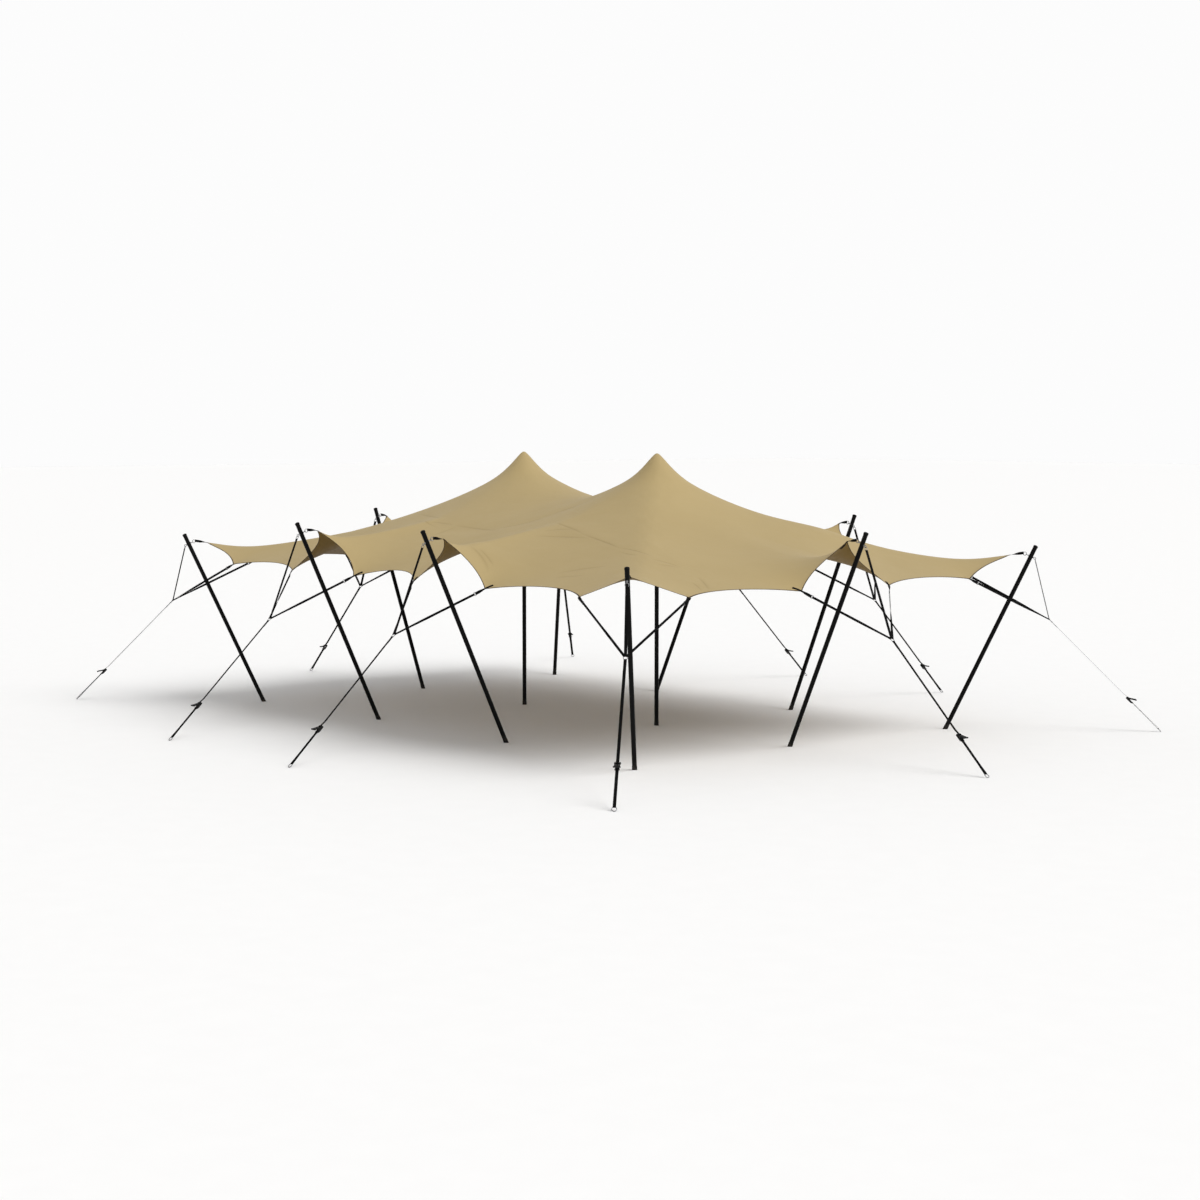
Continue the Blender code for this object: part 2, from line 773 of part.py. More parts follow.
def handle_half(spindle, along, above, across, low, high):
    """One side plate of the handle: a hub with a hole for the pin, and an arm."""
    outline = []
    for k in range(7):
        angle = math.radians(50 + 260 * k / 6)
        outline.append((HANDLE_HUB_RADIUS * math.cos(angle), HANDLE_HUB_RADIUS * math.sin(angle)))
    outline += [(HANDLE_LENGTH, -HANDLE_WIDTH / 2), (HANDLE_LENGTH, HANDLE_WIDTH / 2)]
    return plate(outline, spindle, along, above, across, low, high)


def ratchet_handle(place, finish):
    """Handle that turns on the spindle's pins; its object's origin is on the spindle's axis."""
    across, line = place.across, guy_line(place)
    above = above_guy(place)
    along = line * math.cos(HANDLE_OPEN) + above * math.sin(HANDLE_OPEN)
    rise = above * math.cos(HANDLE_OPEN) - line * math.sin(HANDLE_OPEN)
    spindle = spindle_place(place)
    wide = HANDLE_INSIDE + PLATE_THICKNESS
    shapes = [handle_half(spindle, along, rise, across, HANDLE_INSIDE, wide)]
    shapes.append(handle_half(spindle, along, rise, across, -wide, -HANDLE_INSIDE))
    grip = spindle + along * HANDLE_LENGTH
    shapes.append(rod(grip - across * GRIP_HALF_WIDTH, grip + across * GRIP_HALF_WIDTH, GRIP_RADIUS, 8))
    name = "ratchet_handle_" + place.name
    piece = fused(name, shapes, finish)
    reach = across * (wide * 2)
    hole = rod(spindle - reach, spindle + reach, HANDLE_HOLE_RADIUS, 10)
    cutter = plain_object(name + " bore", hole, finish)
    bore = piece.modifiers.new("Bore", "BOOLEAN")
    bore.operation = "DIFFERENCE"
    bore.solver = "EXACT"
    bore.object = cutter
    graph = bpy.context.evaluated_depsgraph_get()
    mesh = bpy.data.meshes.new_from_object(piece.evaluated_get(graph))
    piece.modifiers.clear()
    bpy.data.objects.remove(cutter)
    mesh.transform(Matrix.Translation(-spindle))
    piece.data = mesh
    piece.location = spindle
    smooth(piece)
    return piece


def main():
    """Clears the scene and builds the tent."""
    for old in list(bpy.data.objects):
        bpy.data.objects.remove(old)
    fabric = material("canopy_fabric", (0.52, 0.40, 0.22), 0.85)
    black_tube = material("black_tube", (0.012, 0.012, 0.012), 0.45)
    webbing = material("black_webbing", (0.010, 0.010, 0.011), 0.9)
    black_steel = material("black_steel", (0.016, 0.016, 0.017), 0.5, 0.4)
    places = stations()
    canopy(places, fabric)
    for x, word in ((PEAK_X, "right"), (-PEAK_X, "left")):
        centre_pole("centre_pole_" + word, x, black_tube)
    for place in places:
        _, outer_eye = leaning_pole(place, black_tube)
        guy(place, outer_eye, webbing)
        ratchet(place, black_steel)
        ratchet_handle(place, black_steel)


main()
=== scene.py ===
"""Stretch tent with a 10.5 by 7.5 m canopy: cloth, poles, webbing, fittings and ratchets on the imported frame.

Metres, +Z up. The origin is on the ground under the middle of the canopy; X is the tent's long way.
Each side pole and its guy lie in one upright plane, where a place is an (out, height) pair from the foot.
"""

import json
import logging
import math
from dataclasses import dataclass, field
from enum import Enum

import bmesh
import bpy
import numpy as np
from mathutils import Matrix, Vector


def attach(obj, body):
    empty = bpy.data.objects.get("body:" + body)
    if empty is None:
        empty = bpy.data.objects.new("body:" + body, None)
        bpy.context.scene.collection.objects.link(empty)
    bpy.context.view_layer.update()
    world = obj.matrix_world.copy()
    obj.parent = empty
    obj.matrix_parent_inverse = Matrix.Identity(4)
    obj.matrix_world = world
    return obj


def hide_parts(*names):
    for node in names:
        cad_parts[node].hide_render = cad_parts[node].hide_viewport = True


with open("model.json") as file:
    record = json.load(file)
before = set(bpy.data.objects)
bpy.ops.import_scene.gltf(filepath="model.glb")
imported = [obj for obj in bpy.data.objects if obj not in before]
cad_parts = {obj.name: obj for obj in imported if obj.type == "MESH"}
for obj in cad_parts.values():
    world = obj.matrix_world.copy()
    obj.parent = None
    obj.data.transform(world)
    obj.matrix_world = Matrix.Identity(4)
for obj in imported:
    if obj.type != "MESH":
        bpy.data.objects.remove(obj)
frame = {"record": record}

LOG = logging.getLogger("stretch_tent")
UP = Vector((0.0, 0.0, 1.0))
FLAT = "flat"
# Mask of the faces that take the painted shade of the underside.
UNDERSIDE_SHADE = "inner"
# Mask of the faces that take the painted shadow line along the edges.
EDGE_SHADOW = "bound_edge"
ROOT_BODY = "tent"
TURN = 2 * math.pi
TINY = 1e-6
Pair = tuple[float, float]


class Slot(Enum):
    """The record's material slots."""

    CLOTH = "canopy_fabric"
    TUBE = "black_tube"
    WEBBING = "black_webbing"
    STEEL = "black_steel"
    RING = "ring_steel"


class Lean(Enum):
    """How side poles are set up: (out, height) of the pole's top, the canopy's tip and the guy's ring."""

    CORNER = ((1.222, 2.585), (0.869, 2.45), (1.431, 1.540))
    SIDE = ((1.35, 2.89), (1.02, 2.77), (1.812, 1.557))


# Shader nodes


class Value:
    """An output in a material's node tree that Python's operators can be used on; each adds a Math node."""

    def __init__(self, sheet: "NodeSheet", socket: bpy.types.NodeSocket) -> None:
        """Keeps the socket and the sheet that it is in."""
        self.sheet = sheet
        self.socket = socket

    def maths(self, operation: str, *values: "Value | float") -> "Value":
        """Adds one Math node on two or three values, this one among them."""
        return self.sheet.node("ShaderNodeMath", {"operation": operation}, dict(enumerate(values)))

    def __add__(self, other: "Value | float") -> "Value":
        """Adds."""
        return self.maths("ADD", self, other)

    def __radd__(self, other: float) -> "Value":
        """Adds, with the number first."""
        return self.maths("ADD", other, self)

    def __sub__(self, other: "Value | float") -> "Value":
        """Subtracts."""
        return self.maths("SUBTRACT", self, other)

    def __rsub__(self, other: float) -> "Value":
        """Subtracts from a number."""
        return self.maths("SUBTRACT", other, self)

    def __mul__(self, other: "Value | float") -> "Value":
        """Multiplies."""
        return self.maths("MULTIPLY", self, other)

    def __rmul__(self, other: float) -> "Value":
        """Multiplies, with the number first."""
        return self.maths("MULTIPLY", other, self)

    def __truediv__(self, other: "Value | float") -> "Value":
        """Divides."""
        return self.maths("DIVIDE", self, other)

    def __rtruediv__(self, other: float) -> "Value":
        """Divides a number."""
        return self.maths("DIVIDE", other, self)

    def sine(self) -> "Value":
        """Takes the sine."""
        return self.maths("SINE", self)

    def sign(self) -> "Value":
        """Takes the sign: -1, 0 or 1."""
        return self.maths("SIGN", self)

    def clamped(self, low: float, high: float) -> "Value":
        """Spreads low to high over 0 to 1, and holds it there."""
        sockets = {"Value": self, "From Min": low, "From Max": high}
        return self.sheet.node("ShaderNodeMapRange", {"clamp": True}, sockets)


class NodeSheet:
    """Builds the node tree of a material, or of the world, round its one shader."""

    def __init__(self, owner: bpy.types.Material | bpy.types.World, shader: str = "Principled BSDF") -> None:
        """Turns the owner's nodes on.

        Args:
            owner: The material or the world.
            shader: Name of its shader node.
        """
        owner.use_nodes = True
        self.owner = owner
        self.tree = owner.node_tree
        self.shader = self.tree.nodes[shader]

    @classmethod
    def material(cls, name: str) -> "NodeSheet":
        """Starts a new material."""
        return cls(bpy.data.materials.new(name))

    def node(
        self, kind: str, settings: dict | None = None, sockets: dict | None = None, output: int | str = 0
    ) -> Value:
        """Adds any node.

        Args:
            kind: The node's type.
            settings: Its properties, set first.
            sockets: Its sockets' values or links, by name or number.
            output: The output that is wanted.

        Returns:
            That output.
        """
        made = self.tree.nodes.new(kind)
        for key, setting in (settings or {}).items():
            setattr(made, key, setting)
        for key, given in (sockets or {}).items():
            self.feed(made.inputs[key], given)
        return Value(self, made.outputs[output])

    def feed(self, socket: bpy.types.NodeSocket, given: Value | float | tuple) -> None:
        """Links or sets one input.

        Args:
            socket: The input.
            given: A value to link, or a number or a colour to set.
        """
        if isinstance(given, Value):
            self.tree.links.new(given.socket, socket)
        elif socket.type == "RGBA":
            socket.default_value = (*given, 1.0)
        else:
            socket.default_value = given

    def part(self, vector: Value, axis: int) -> Value:
        """One coordinate of a vector; the axis is 0, 1 or 2."""
        return self.node("ShaderNodeSeparateXYZ", {}, {"Vector": vector}, axis)

    def place(self) -> Value:
        """The point's Object coordinates."""
        return self.node("ShaderNodeTexCoord", output="Object")

    def stored(self, name: str, output: str = "Fac") -> Value:
        """What the mesh's own attribute of that name says."""
        return self.node("ShaderNodeAttribute", {"attribute_name": name}, output=output)

    def mixed(self, share: Value, first: tuple | Value, second: tuple | Value) -> Value:
        """A colour between two: the first where the share is 0, the second where it is 1."""
        return self.node("ShaderNodeMix", {"data_type": "RGBA"}, {0: share, 6: first, 7: second}, 2)

    def bump(self, height: Value) -> None:
        """Feeds the shader's normal from a height in metres."""
        sockets = {"Height": height, "Distance": 1.0, "Strength": 1.0}
        self.feed(self.shader.inputs["Normal"], self.node("ShaderNodeBump", {}, sockets))

    def set(self, **inputs: Value | float | tuple) -> bpy.types.Material | bpy.types.World:
        """Feeds the shader's own sockets.

        Args:
            inputs: Socket names with underscores for spaces.

        Returns:
            The material or the world.
        """
        for name, given in inputs.items():
            self.feed(self.shader.inputs[name.replace("_", " ")], given)
        return self.owner


@dataclass(frozen=True)
class Noise:
    """A cloudy pattern: clouds per metre, finer layers and their strength, and what spreads over 0 to 1."""

    scale: float
    detail: float = 3.0
    rough: float = 0.5
    span: Pair | None = None

    def on(self, vector: Value) -> Value:
        """Reads the pattern.

        Args:
            vector: Where it is read.

        Returns:
            Noise about 0.5, or spread over 0 to 1 where it has a span.
        """
        sockets = {"Vector": vector, "Scale": self.scale, "Detail": self.detail, "Roughness": self.rough}
        made = vector.sheet.node("ShaderNodeTexNoise", {}, sockets)
        return made.clamped(*self.span) if self.span else made


# Finishes


@dataclass(frozen=True)
class ClothFinish:
    """Coated stretch knit: matt tan with fine ribs; its under face is painted darker, as shade.

    In a finish, a name in shade, rough or depth says how much a pattern adds to tone, roughness or height; the
    darkening along the creases is painted shade.
    """

    creases: tuple = ()
    name: str = "canopy_knit"
    colour: tuple = (0.435, 0.333, 0.160)
    # The darker tone of the random mottling, and also the painted shade along the creases.
    shade: tuple = (0.375, 0.282, 0.130)
    # Painted shade: the under face of the same tan cloth, darkened as if in shadow.
    inside: tuple = (0.170, 0.103, 0.019)
    # Painted shadow: the dark brown line along the cloth's edges and over its rim.
    edge: tuple = (0.060, 0.038, 0.014)
    clouds: Noise = Noise(0.9, 4.0, 0.55, (0.3, 0.7))
    grain: Noise = Noise(160.0, 2.0)
    ripple: Noise = Noise(2.4, 2.0)
    rib: float = 0.0022
    rib_shares: Pair = (0.6, 0.4)
    rib_depth: float = 0.00003
    grain_depth: float = 0.0002
    ripple_depth: float = 0.014
    crease_depth: float = 1.6
    # Painted shade: how far the cloth's colour is darkened along each crease.
    crease_shade: float = 0.8
    clouds_shade: float = 0.3
    grain_shade: float = 0.25
    roughness: float = 0.62
    clouds_rough: float = 0.08
    grain_rough: float = 0.05
    gloss: float = 0.2
    sheen: float = 0.06
    sheen_roughness: float = 0.5

    def material(self) -> bpy.types.Material:
        """Builds the material, whose creases repeat, turned half round, on the back half of the cloth, and are
        darkened with painted shade.

        Returns:
            The material.
        """
        sheet = NodeSheet.material(self.name)
        flat = sheet.stored(FLAT, "Vector")
        along, over = sheet.part(flat, 0), sheet.part(flat, 1)
        clouds, grain = self.clouds.on(flat), self.grain.on(flat)
        turns = TURN / self.rib
        ribs = (along * turns).sine() * self.rib_shares[0] + (over * turns * 0.5).sine() * self.rib_shares[1]
        height = ribs * self.rib_depth + grain * self.grain_depth + self.ripple.on(flat) * self.ripple_depth
        shade = clouds * self.clouds_shade + grain * self.grain_shade
        front = over.sign() * -1.0
        turned_along, turned_over = along * front, over * front
        for crease in self.creases:
            line = crease.line(turned_along, turned_over)
            height = height + line * (crease.rise * self.crease_depth)
            # Painted shade along the crease.
            shade = shade + line * self.crease_shade
        sheet.bump(height)
        # Painted shade: the under face takes the dark inside colour.
        either = sheet.mixed(sheet.stored(UNDERSIDE_SHADE), sheet.mixed(shade, self.colour, self.shade), self.inside)
        # Painted shadow: faces near the edge and on the rim take the dark edge colour.
        return sheet.set(
            Base_Color=sheet.mixed(sheet.stored(EDGE_SHADOW), either, self.edge),
            Roughness=self.roughness + clouds * self.clouds_rough + grain * self.grain_rough,
            Specular_IOR_Level=self.gloss,
            Sheen_Weight=self.sheen,
            Sheen_Roughness=self.sheen_roughness,
        )


@dataclass(frozen=True)
class WebbingFinish:
    """Woven black polyester webbing: a twill across its width, with firm edges."""

    name: str = "webbing_weave"
    colour: tuple = (0.003, 0.003, 0.003)
    worn: tuple = (0.010, 0.010, 0.011)
    fluff: Noise = Noise(900.0, 2.0)
    wear: Noise = Noise(9.0, 4.0, 0.6, (0.5, 0.8))
    thread: float = 0.0017
    rib: float = 0.0034
    wear_shade: float = 0.5
    twill_shade: float = 0.35
    fluff_shade: float = 0.2
    tones: Pair = (0.2, 1.1)
    twill_depth: float = 0.00025
    rib_depth: float = 0.00012
    fluff_depth: float = 0.0001
    roughness: float = 0.72
    fluff_rough: float = 0.15
    gloss: float = 0.05

    def material(self) -> bpy.types.Material:
        """Builds the material.

        Returns:
            The material.
        """
        sheet = NodeSheet.material(self.name)
        flat = sheet.stored(FLAT, "Vector")
        across, along = sheet.part(flat, 0), sheet.part(flat, 1)
        twill = ((along / self.thread + across / self.rib) * TURN).sine() * 0.5 + 0.5
        ribs = (across * (TURN / self.rib)).sine() * 0.5 + 0.5
        fluff, wear = self.fluff.on(flat), self.wear.on(flat)
        tone = wear * self.wear_shade + twill * self.twill_shade + fluff * self.fluff_shade
        sheet.bump(twill * self.twill_depth + ribs * self.rib_depth + fluff * self.fluff_depth)
        return sheet.set(
            Base_Color=sheet.mixed(tone.clamped(*self.tones), self.colour, self.worn),
            Roughness=self.roughness + fluff * self.fluff_rough,
            Specular_IOR_Level=self.gloss,
        )


@dataclass(frozen=True)
class TubeFinish:
    """Black powder-coated tube: orange peel, light scuffs, and dust near the ground."""

    name: str = "tube_powder_coat"
    colour: tuple = (0.003, 0.003, 0.003)
    scuffed: tuple = (0.014, 0.014, 0.015)
    dust: tuple = (0.075, 0.068, 0.058)
    peel: Noise = Noise(420.0, 2.0)
    scuffs: Noise = Noise(26.0, 6.0, 0.7, (0.62, 0.74))
    specks: Noise = Noise(30.0, 4.0, 0.5, (0.35, 0.75))
    dust_height: float = 0.12
    dust_shade: float = 0.8
    scuffs_shade: float = 0.35
    peel_depth: float = 0.00008
    roughness: float = 0.38
    scuffs_rough: float = 0.2
    dust_rough: float = 0.3
    peel_rough: float = 0.06
    gloss: float = 0.07

    def material(self) -> bpy.types.Material:
        """Builds the material.

        Returns:
            The material.
        """
        sheet = NodeSheet.material(self.name)
        place = sheet.place()
        peel, scuffs = self.peel.on(place), self.scuffs.on(place)
        low = 1.0 - sheet.part(place, 2).clamped(0.0, self.dust_height)
        dusty = low * self.specks.on(place) * self.dust_shade
        paint = sheet.mixed(scuffs * self.scuffs_shade, self.colour, self.scuffed)
        sheet.bump(peel * self.peel_depth)
        rough = self.roughness + scuffs * self.scuffs_rough + dusty * self.dust_rough + peel * self.peel_rough
        return sheet.set(
            Base_Color=sheet.mixed(dusty, paint, self.dust), Roughness=rough, Specular_IOR_Level=self.gloss
        )


@dataclass(frozen=True)
class SteelFinish:
    """Metal: bright zinc plate, or black coat with the metal showing where it is rubbed."""

    name: str
    colour: tuple
    bare: tuple
    metallic: float
    roughness: float
    wear: float
    grain: Noise = Noise(700.0)
    marks: Noise = Noise(85.0, 6.0, 0.7, (0.60, 0.70))
    clouds: Noise = Noise(35.0)
    grain_depth: float = 0.00006
    clouds_rough: float = 0.12
    grain_rough: float = 0.06
    gloss: float = 0.15

    def material(self) -> bpy.types.Material:
        """Builds the material.

        Returns:
            The material.
        """
        sheet = NodeSheet.material(self.name)
        place = sheet.place()
        grain = self.grain.on(place)
        marks = self.marks.on(place) * self.wear
        sheet.bump(grain * self.grain_depth)
        return sheet.set(
            Base_Color=sheet.mixed(marks, self.colour, self.bare),
            Metallic=self.metallic + marks * (1.0 - self.metallic) if self.metallic < 1.0 else 1.0,
            Roughness=self.roughness + self.clouds.on(place) * self.clouds_rough + grain * self.grain_rough,
            Specular_IOR_Level=self.gloss,
        )


@dataclass(frozen=True)
class PlainFinish:
    """Moulded rubber, sewing thread or floor: one colour with a fine grain."""

    name: str
    colour: tuple
    lighter: tuple
    roughness: float
    grain: Noise = Noise(600.0)
    grain_depth: float = 0.00008
    grain_rough: float = 0.1
    tones: Pair = (0.35, 0.75)
    gloss: float = 0.2

    def material(self) -> bpy.types.Material:
        """Builds the material.

        Returns:
            The material.
        """
        sheet = NodeSheet.material(self.name)
        grain = self.grain.on(sheet.place())
        sheet.bump(grain * self.grain_depth)
        return sheet.set(
            Base_Color=sheet.mixed(grain.clamped(*self.tones), self.colour, self.lighter),
            Roughness=self.roughness + grain * self.grain_rough,
            Specular_IOR_Level=self.gloss,
        )


BRIGHT_STEEL = SteelFinish("bright_zinc_steel", (0.26, 0.26, 0.27), (0.13, 0.13, 0.135), 1.0, 0.26, 0.8)
BLACK_STEEL = SteelFinish("black_coated_steel", (0.005, 0.005, 0.005), (0.22, 0.22, 0.23), 0.0, 0.38, 0.30)
RUBBER = PlainFinish("moulded_rubber", (0.009, 0.009, 0.009), (0.020, 0.020, 0.020), 0.62)
DARK_THREAD = PlainFinish("webbing_thread", (0.018, 0.018, 0.019), (0.050, 0.050, 0.052), 0.6, Noise(2500.0))
TAN_THREAD = PlainFinish("hem_thread", (0.34, 0.25, 0.12), (0.46, 0.35, 0.19), 0.6, Noise(2500.0))
FLOOR = PlainFinish("studio_floor", (0.93, 0.93, 0.93), (0.94, 0.94, 0.94), 0.85, Noise(3.0), 0.0)


# Shapes


class Shape:
    """Points and faces gathered for one piece, with each point's place on its flat cloth or webbing."""

    def __init__(self) -> None:
        """Starts empty."""
        self.points: list[np.ndarray] = []
        self.flats: list[np.ndarray] = []
        self.faces: list[tuple[int, ...]] = []
        self.count = 0

    def add(self, points: np.ndarray, faces: list, flats: np.ndarray | None = None) -> "Shape":
        """Adds one closed body.

        Args:
            points: Its points.
            faces: Its faces, numbered from its own first point.
            flats: The points' places on the flat, or None for the points themselves.

        Returns:
            This shape.
        """
        points = np.asarray(points, float).reshape(-1, 3)
        self.faces += [tuple(k + self.count for k in face) for face in faces]
        self.points.append(points)
        self.flats.append(points if flats is None else np.asarray(flats, float).reshape(-1, 3))
        self.count += len(points)
        return self

    def take(self, other: "Shape", place: Matrix | None = None) -> "Shape":
        """Adds a copy of another shape.

        Args:
            other: The shape.
            place: Where it goes, or None to leave it.

        Returns:
            This shape.
        """
        for points, flats in zip(other.points, other.flats):
            if place is not None:
                points = points @ np.array(place.to_3x3()).T + np.array(place.translation)
            self.points.append(points)
            self.flats.append(flats)
        self.faces += [tuple(k + self.count for k in face) for face in other.faces]
        self.count += other.count
        return self

    def piece(self, name: str, material: bpy.types.Material, corner: float = 35.0) -> bpy.types.Object:
        """Makes the mesh object.

        Args:
            name: The piece's name.
            material: Its material.
            corner: Edges sharper than this many degrees stay sharp.

        Returns:
            The object, at the origin.
        """
        mesh = bpy.data.meshes.new(name)
        mesh.from_pydata(np.concatenate(self.points).tolist(), [], self.faces)
        flat = mesh.attributes.new(FLAT, "FLOAT_VECTOR", "POINT")
        flat.data.foreach_set("vector", np.concatenate(self.flats).ravel().astype(np.float32))
        mesh.materials.append(material)
        mesh.shade_smooth()
        mesh.set_sharp_from_angle(angle=math.radians(corner))
        made = bpy.data.objects.new(name, mesh)
        bpy.context.scene.collection.objects.link(made)
        return made


def unit(vectors: np.ndarray) -> np.ndarray:
    """The same rows of vectors, each of length 1."""
    return vectors / np.maximum(np.linalg.norm(vectors, axis=-1, keepdims=True), 1e-12)


def eased(share: float) -> float:
    """A share from 0 to 1 that starts and ends softly."""
    return 3 * share**2 - 2 * share**3


def grid_faces(rings: int, sides: int, closed_way: bool) -> list[tuple[int, ...]]:
    """Quads between rings of points, and n-gon ends where the way isn't closed.

    Args:
        rings: How many rings.
        sides: Points in each.
        closed_way: Whether the last ring joins the first.

    Returns:
        The faces.
    """
    faces: list[tuple[int, ...]] = []
    for i in range(rings if closed_way else rings - 1):
        here, after = i * sides, (i + 1) % rings * sides
        for k in range(sides):
            n = (k + 1) % sides
            faces.append((here + k, here + n, after + n, after + k))
    if not closed_way:
        faces.append(tuple(range(sides))[::-1])
        faces.append(tuple(range((rings - 1) * sides, rings * sides)))
    return faces


def turned(profile: list[Pair], sides: int = 48) -> Shape:
    """A turned solid on the Z axis.

    Args:
        profile: (height, radius) pairs from one end to the other, all radii above 0.
        sides: Points round it.

    Returns:
        The shape.
    """
    angles = np.linspace(0.0, TURN, sides, endpoint=False)
    height, radius = np.array(profile).T
    points = np.empty((len(profile), sides, 3))
    points[..., 0] = radius[:, None] * np.cos(angles)
    points[..., 1] = radius[:, None] * np.sin(angles)
    points[..., 2] = height[:, None]
    return Shape().add(points, grid_faces(len(profile), sides, False))


def headings(path: np.ndarray, closed: bool) -> np.ndarray:
    """Directions along a path.

    Args:
        path: Its points.
        closed: Whether it joins up.

    Returns:
        One direction for each point.
    """
    ahead = np.roll(path, -1, 0) - np.roll(path, 1, 0)
    if not closed:
        ahead[0], ahead[-1] = path[1] - path[0], path[-1] - path[-2]
    return unit(ahead)


def wire(path: np.ndarray, radius: float, sides: int = 12, closed: bool = False) -> Shape:
    """A round wire along a path, its section carried along without twist.

    Args:
        path: Points along its middle.
        radius: The wire's radius.
        sides: Points round it.
        closed: Whether it joins up.

    Returns:
        The shape.
    """
    path = np.asarray(path, float)
    ahead = headings(path, closed)
    starts_level = abs(ahead[0][2]) < 0.9
    side = np.cross(ahead[0], (0.0, 0.0, 1.0) if starts_level else (1.0, 0.0, 0.0))
    sections = []
    angles = np.linspace(0.0, TURN, sides, endpoint=False)
    for point, way in zip(path, ahead):
        side = unit(side - way * (side @ way))
        other = np.cross(way, side)
        sections.append(point + radius * (np.outer(np.cos(angles), side) + np.outer(np.sin(angles), other)))
    return Shape().add(np.array(sections), grid_faces(len(path), sides, closed))


def ring(radius: float, thick: float, segments: int = 40, sides: int = 12) -> Shape:
    """A round ring in the local XY plane.

    Args:
        radius: To the middle of its wire.
        thick: The wire's radius.
        segments: Points along it.
        sides: Points round the wire.

    Returns:
        The shape.
    """
    angles = np.linspace(0.0, TURN, segments, endpoint=False)
    path = np.stack([radius * np.cos(angles), radius * np.sin(angles), np.zeros(segments)], 1)
    return wire(path, thick, sides, True)


def ribbon(
    path: np.ndarray, across: np.ndarray, width: float, thickness: float, closed: bool = False
) -> Shape:
    """Flat webbing along a path, with rounded edges.

    Args:
        path: Points along the middle of its thickness.
        across: Direction of its width, one for all or one for each point.
        width: Edge to edge.
        thickness: Face to face.
        closed: Whether it joins up into a loop.

    Returns:
        The shape, whose flat places are (across, along).
    """
    path = np.asarray(path, float)
    count = len(path)
    ahead = headings(path, closed)
    side = np.broadcast_to(np.asarray(across, float), (count, 3))
    side = unit(side - ahead * (side * ahead).sum(1, keepdims=True))
    face = np.cross(ahead, side)
    half, thin = width / 2, thickness / 2
    edge, shoulder = min(thickness * 0.45, 0.0012), thin * 0.45
    flat_run = [(-half + edge, -thin), (-half / 3, -thin), (half / 3, -thin), (half - edge, -thin)]
    section = flat_run + [(half, -shoulder), (half, shoulder)]
    section += [(a, -b) for a, b in reversed(flat_run)] + [(-half, shoulder), (-half, -shoulder)]
    a, b = np.array(section).T
    points = path[:, None] + side[:, None] * a[None, :, None] + face[:, None] * b[None, :, None]
    run = np.concatenate(([0.0], np.cumsum(np.linalg.norm(np.diff(path, axis=0), axis=1))))
    flats = np.zeros_like(points)
    flats[..., 0] = a + half
    flats[..., 1] = run[:, None]
    flats[..., 2] = b
    return Shape().add(points, grid_faces(count, len(section), closed), flats)


def plate(outline: np.ndarray, thickness: float, chamfer: float = 0.0005) -> Shape:
    """A flat outline in the local XY plane made a chamfered plate about Z = 0.

    Args:
        outline: Its points, turning left.
        thickness: Face to face.
        chamfer: Size of the chamfer on its edges.

    Returns:
        The shape.
    """
    outline = np.asarray(outline, float)
    ahead = unit(np.roll(outline, -1, 0) - np.roll(outline, 1, 0))
    inward = np.stack([-ahead[:, 1], ahead[:, 0]], 1)
    rings = []
    for inset, height in ((chamfer, -0.5), (0.0, -0.5), (0.0, 0.5), (chamfer, 0.5)):
        level = height * thickness + (0.0 if inset else -math.copysign(chamfer, height))
        flat = outline + inward * inset
        rings.append(np.column_stack([flat, np.full(len(flat), level)]))
    return Shape().add(np.array(rings), grid_faces(4, len(outline), False))


def rounded(corners: list[tuple[float, float, float]], steps: int = 6) -> np.ndarray:
    """An outline whose corners are arcs.

    Args:
        corners: (x, y, radius) for each corner, turning left.
        steps: Stretches in each arc.

    Returns:
        The outline's points.
    """
    places = [Vector((x, y)) for x, y, _ in corners]
    points: list[Vector] = []
    for k, (here, (_, _, radius)) in enumerate(zip(places, corners)):
        back = (places[k - 1] - here).normalized()
        on = (places[(k + 1) % len(places)] - here).normalized()
        half = back.angle(on) / 2
        reach = radius / math.tan(half)
        centre = here + (back + on).normalized() * (radius / math.sin(half))
        first, last = here + back * reach - centre, here + on * reach - centre
        turn = first.angle_signed(last)
        for j in range(steps + 1):
            points.append(centre + Matrix.Rotation(-turn * j / steps, 2) @ first)
    return np.array([tuple(p) for p in points])


def oblong(near: float, far: float, half: float, radius: float, steps: int = 2) -> np.ndarray:
    """A rectangle's outline with rounded corners.

    Args:
        near: Where it starts along X.
        far: Where it ends.
        half: Half its size across.
        radius: Its corners' radius.
        steps: Stretches in each arc.

    Returns:
        The outline's points.
    """
    corners = ((near, -half), (far, -half), (far, half), (near, half))
    return rounded([(x, y, radius) for x, y in corners], steps)


def hexagon(across_flats: float) -> np.ndarray:
    """A hexagon's outline.

    Args:
        across_flats: Its size, flat to flat.

    Returns:
        Six points.
    """
    reach = across_flats / math.sqrt(3)
    angles = np.radians(np.arange(0, 360, 60))
    return np.stack([reach * np.cos(angles), reach * np.sin(angles)], 1)


def turned_to(x_axis: Vector, z_axis: Vector, origin: Vector) -> Matrix:
    """A place whose local X and Z point along two square directions.

    Args:
        x_axis: Direction of local X.
        z_axis: Direction of local Z.
        origin: Local origin.

    Returns:
        The matrix.
    """
    x, z = x_axis.normalized(), z_axis.normalized()
    y = z.cross(x)
    made = Matrix((x, y, z)).transposed().to_4x4()
    made.translation = origin
    return made


def along_axis(axis: Vector, origin: Vector) -> Matrix:
    """A place whose local Z points along a direction."""
    return turned_to(axis.orthogonal(), axis, origin)


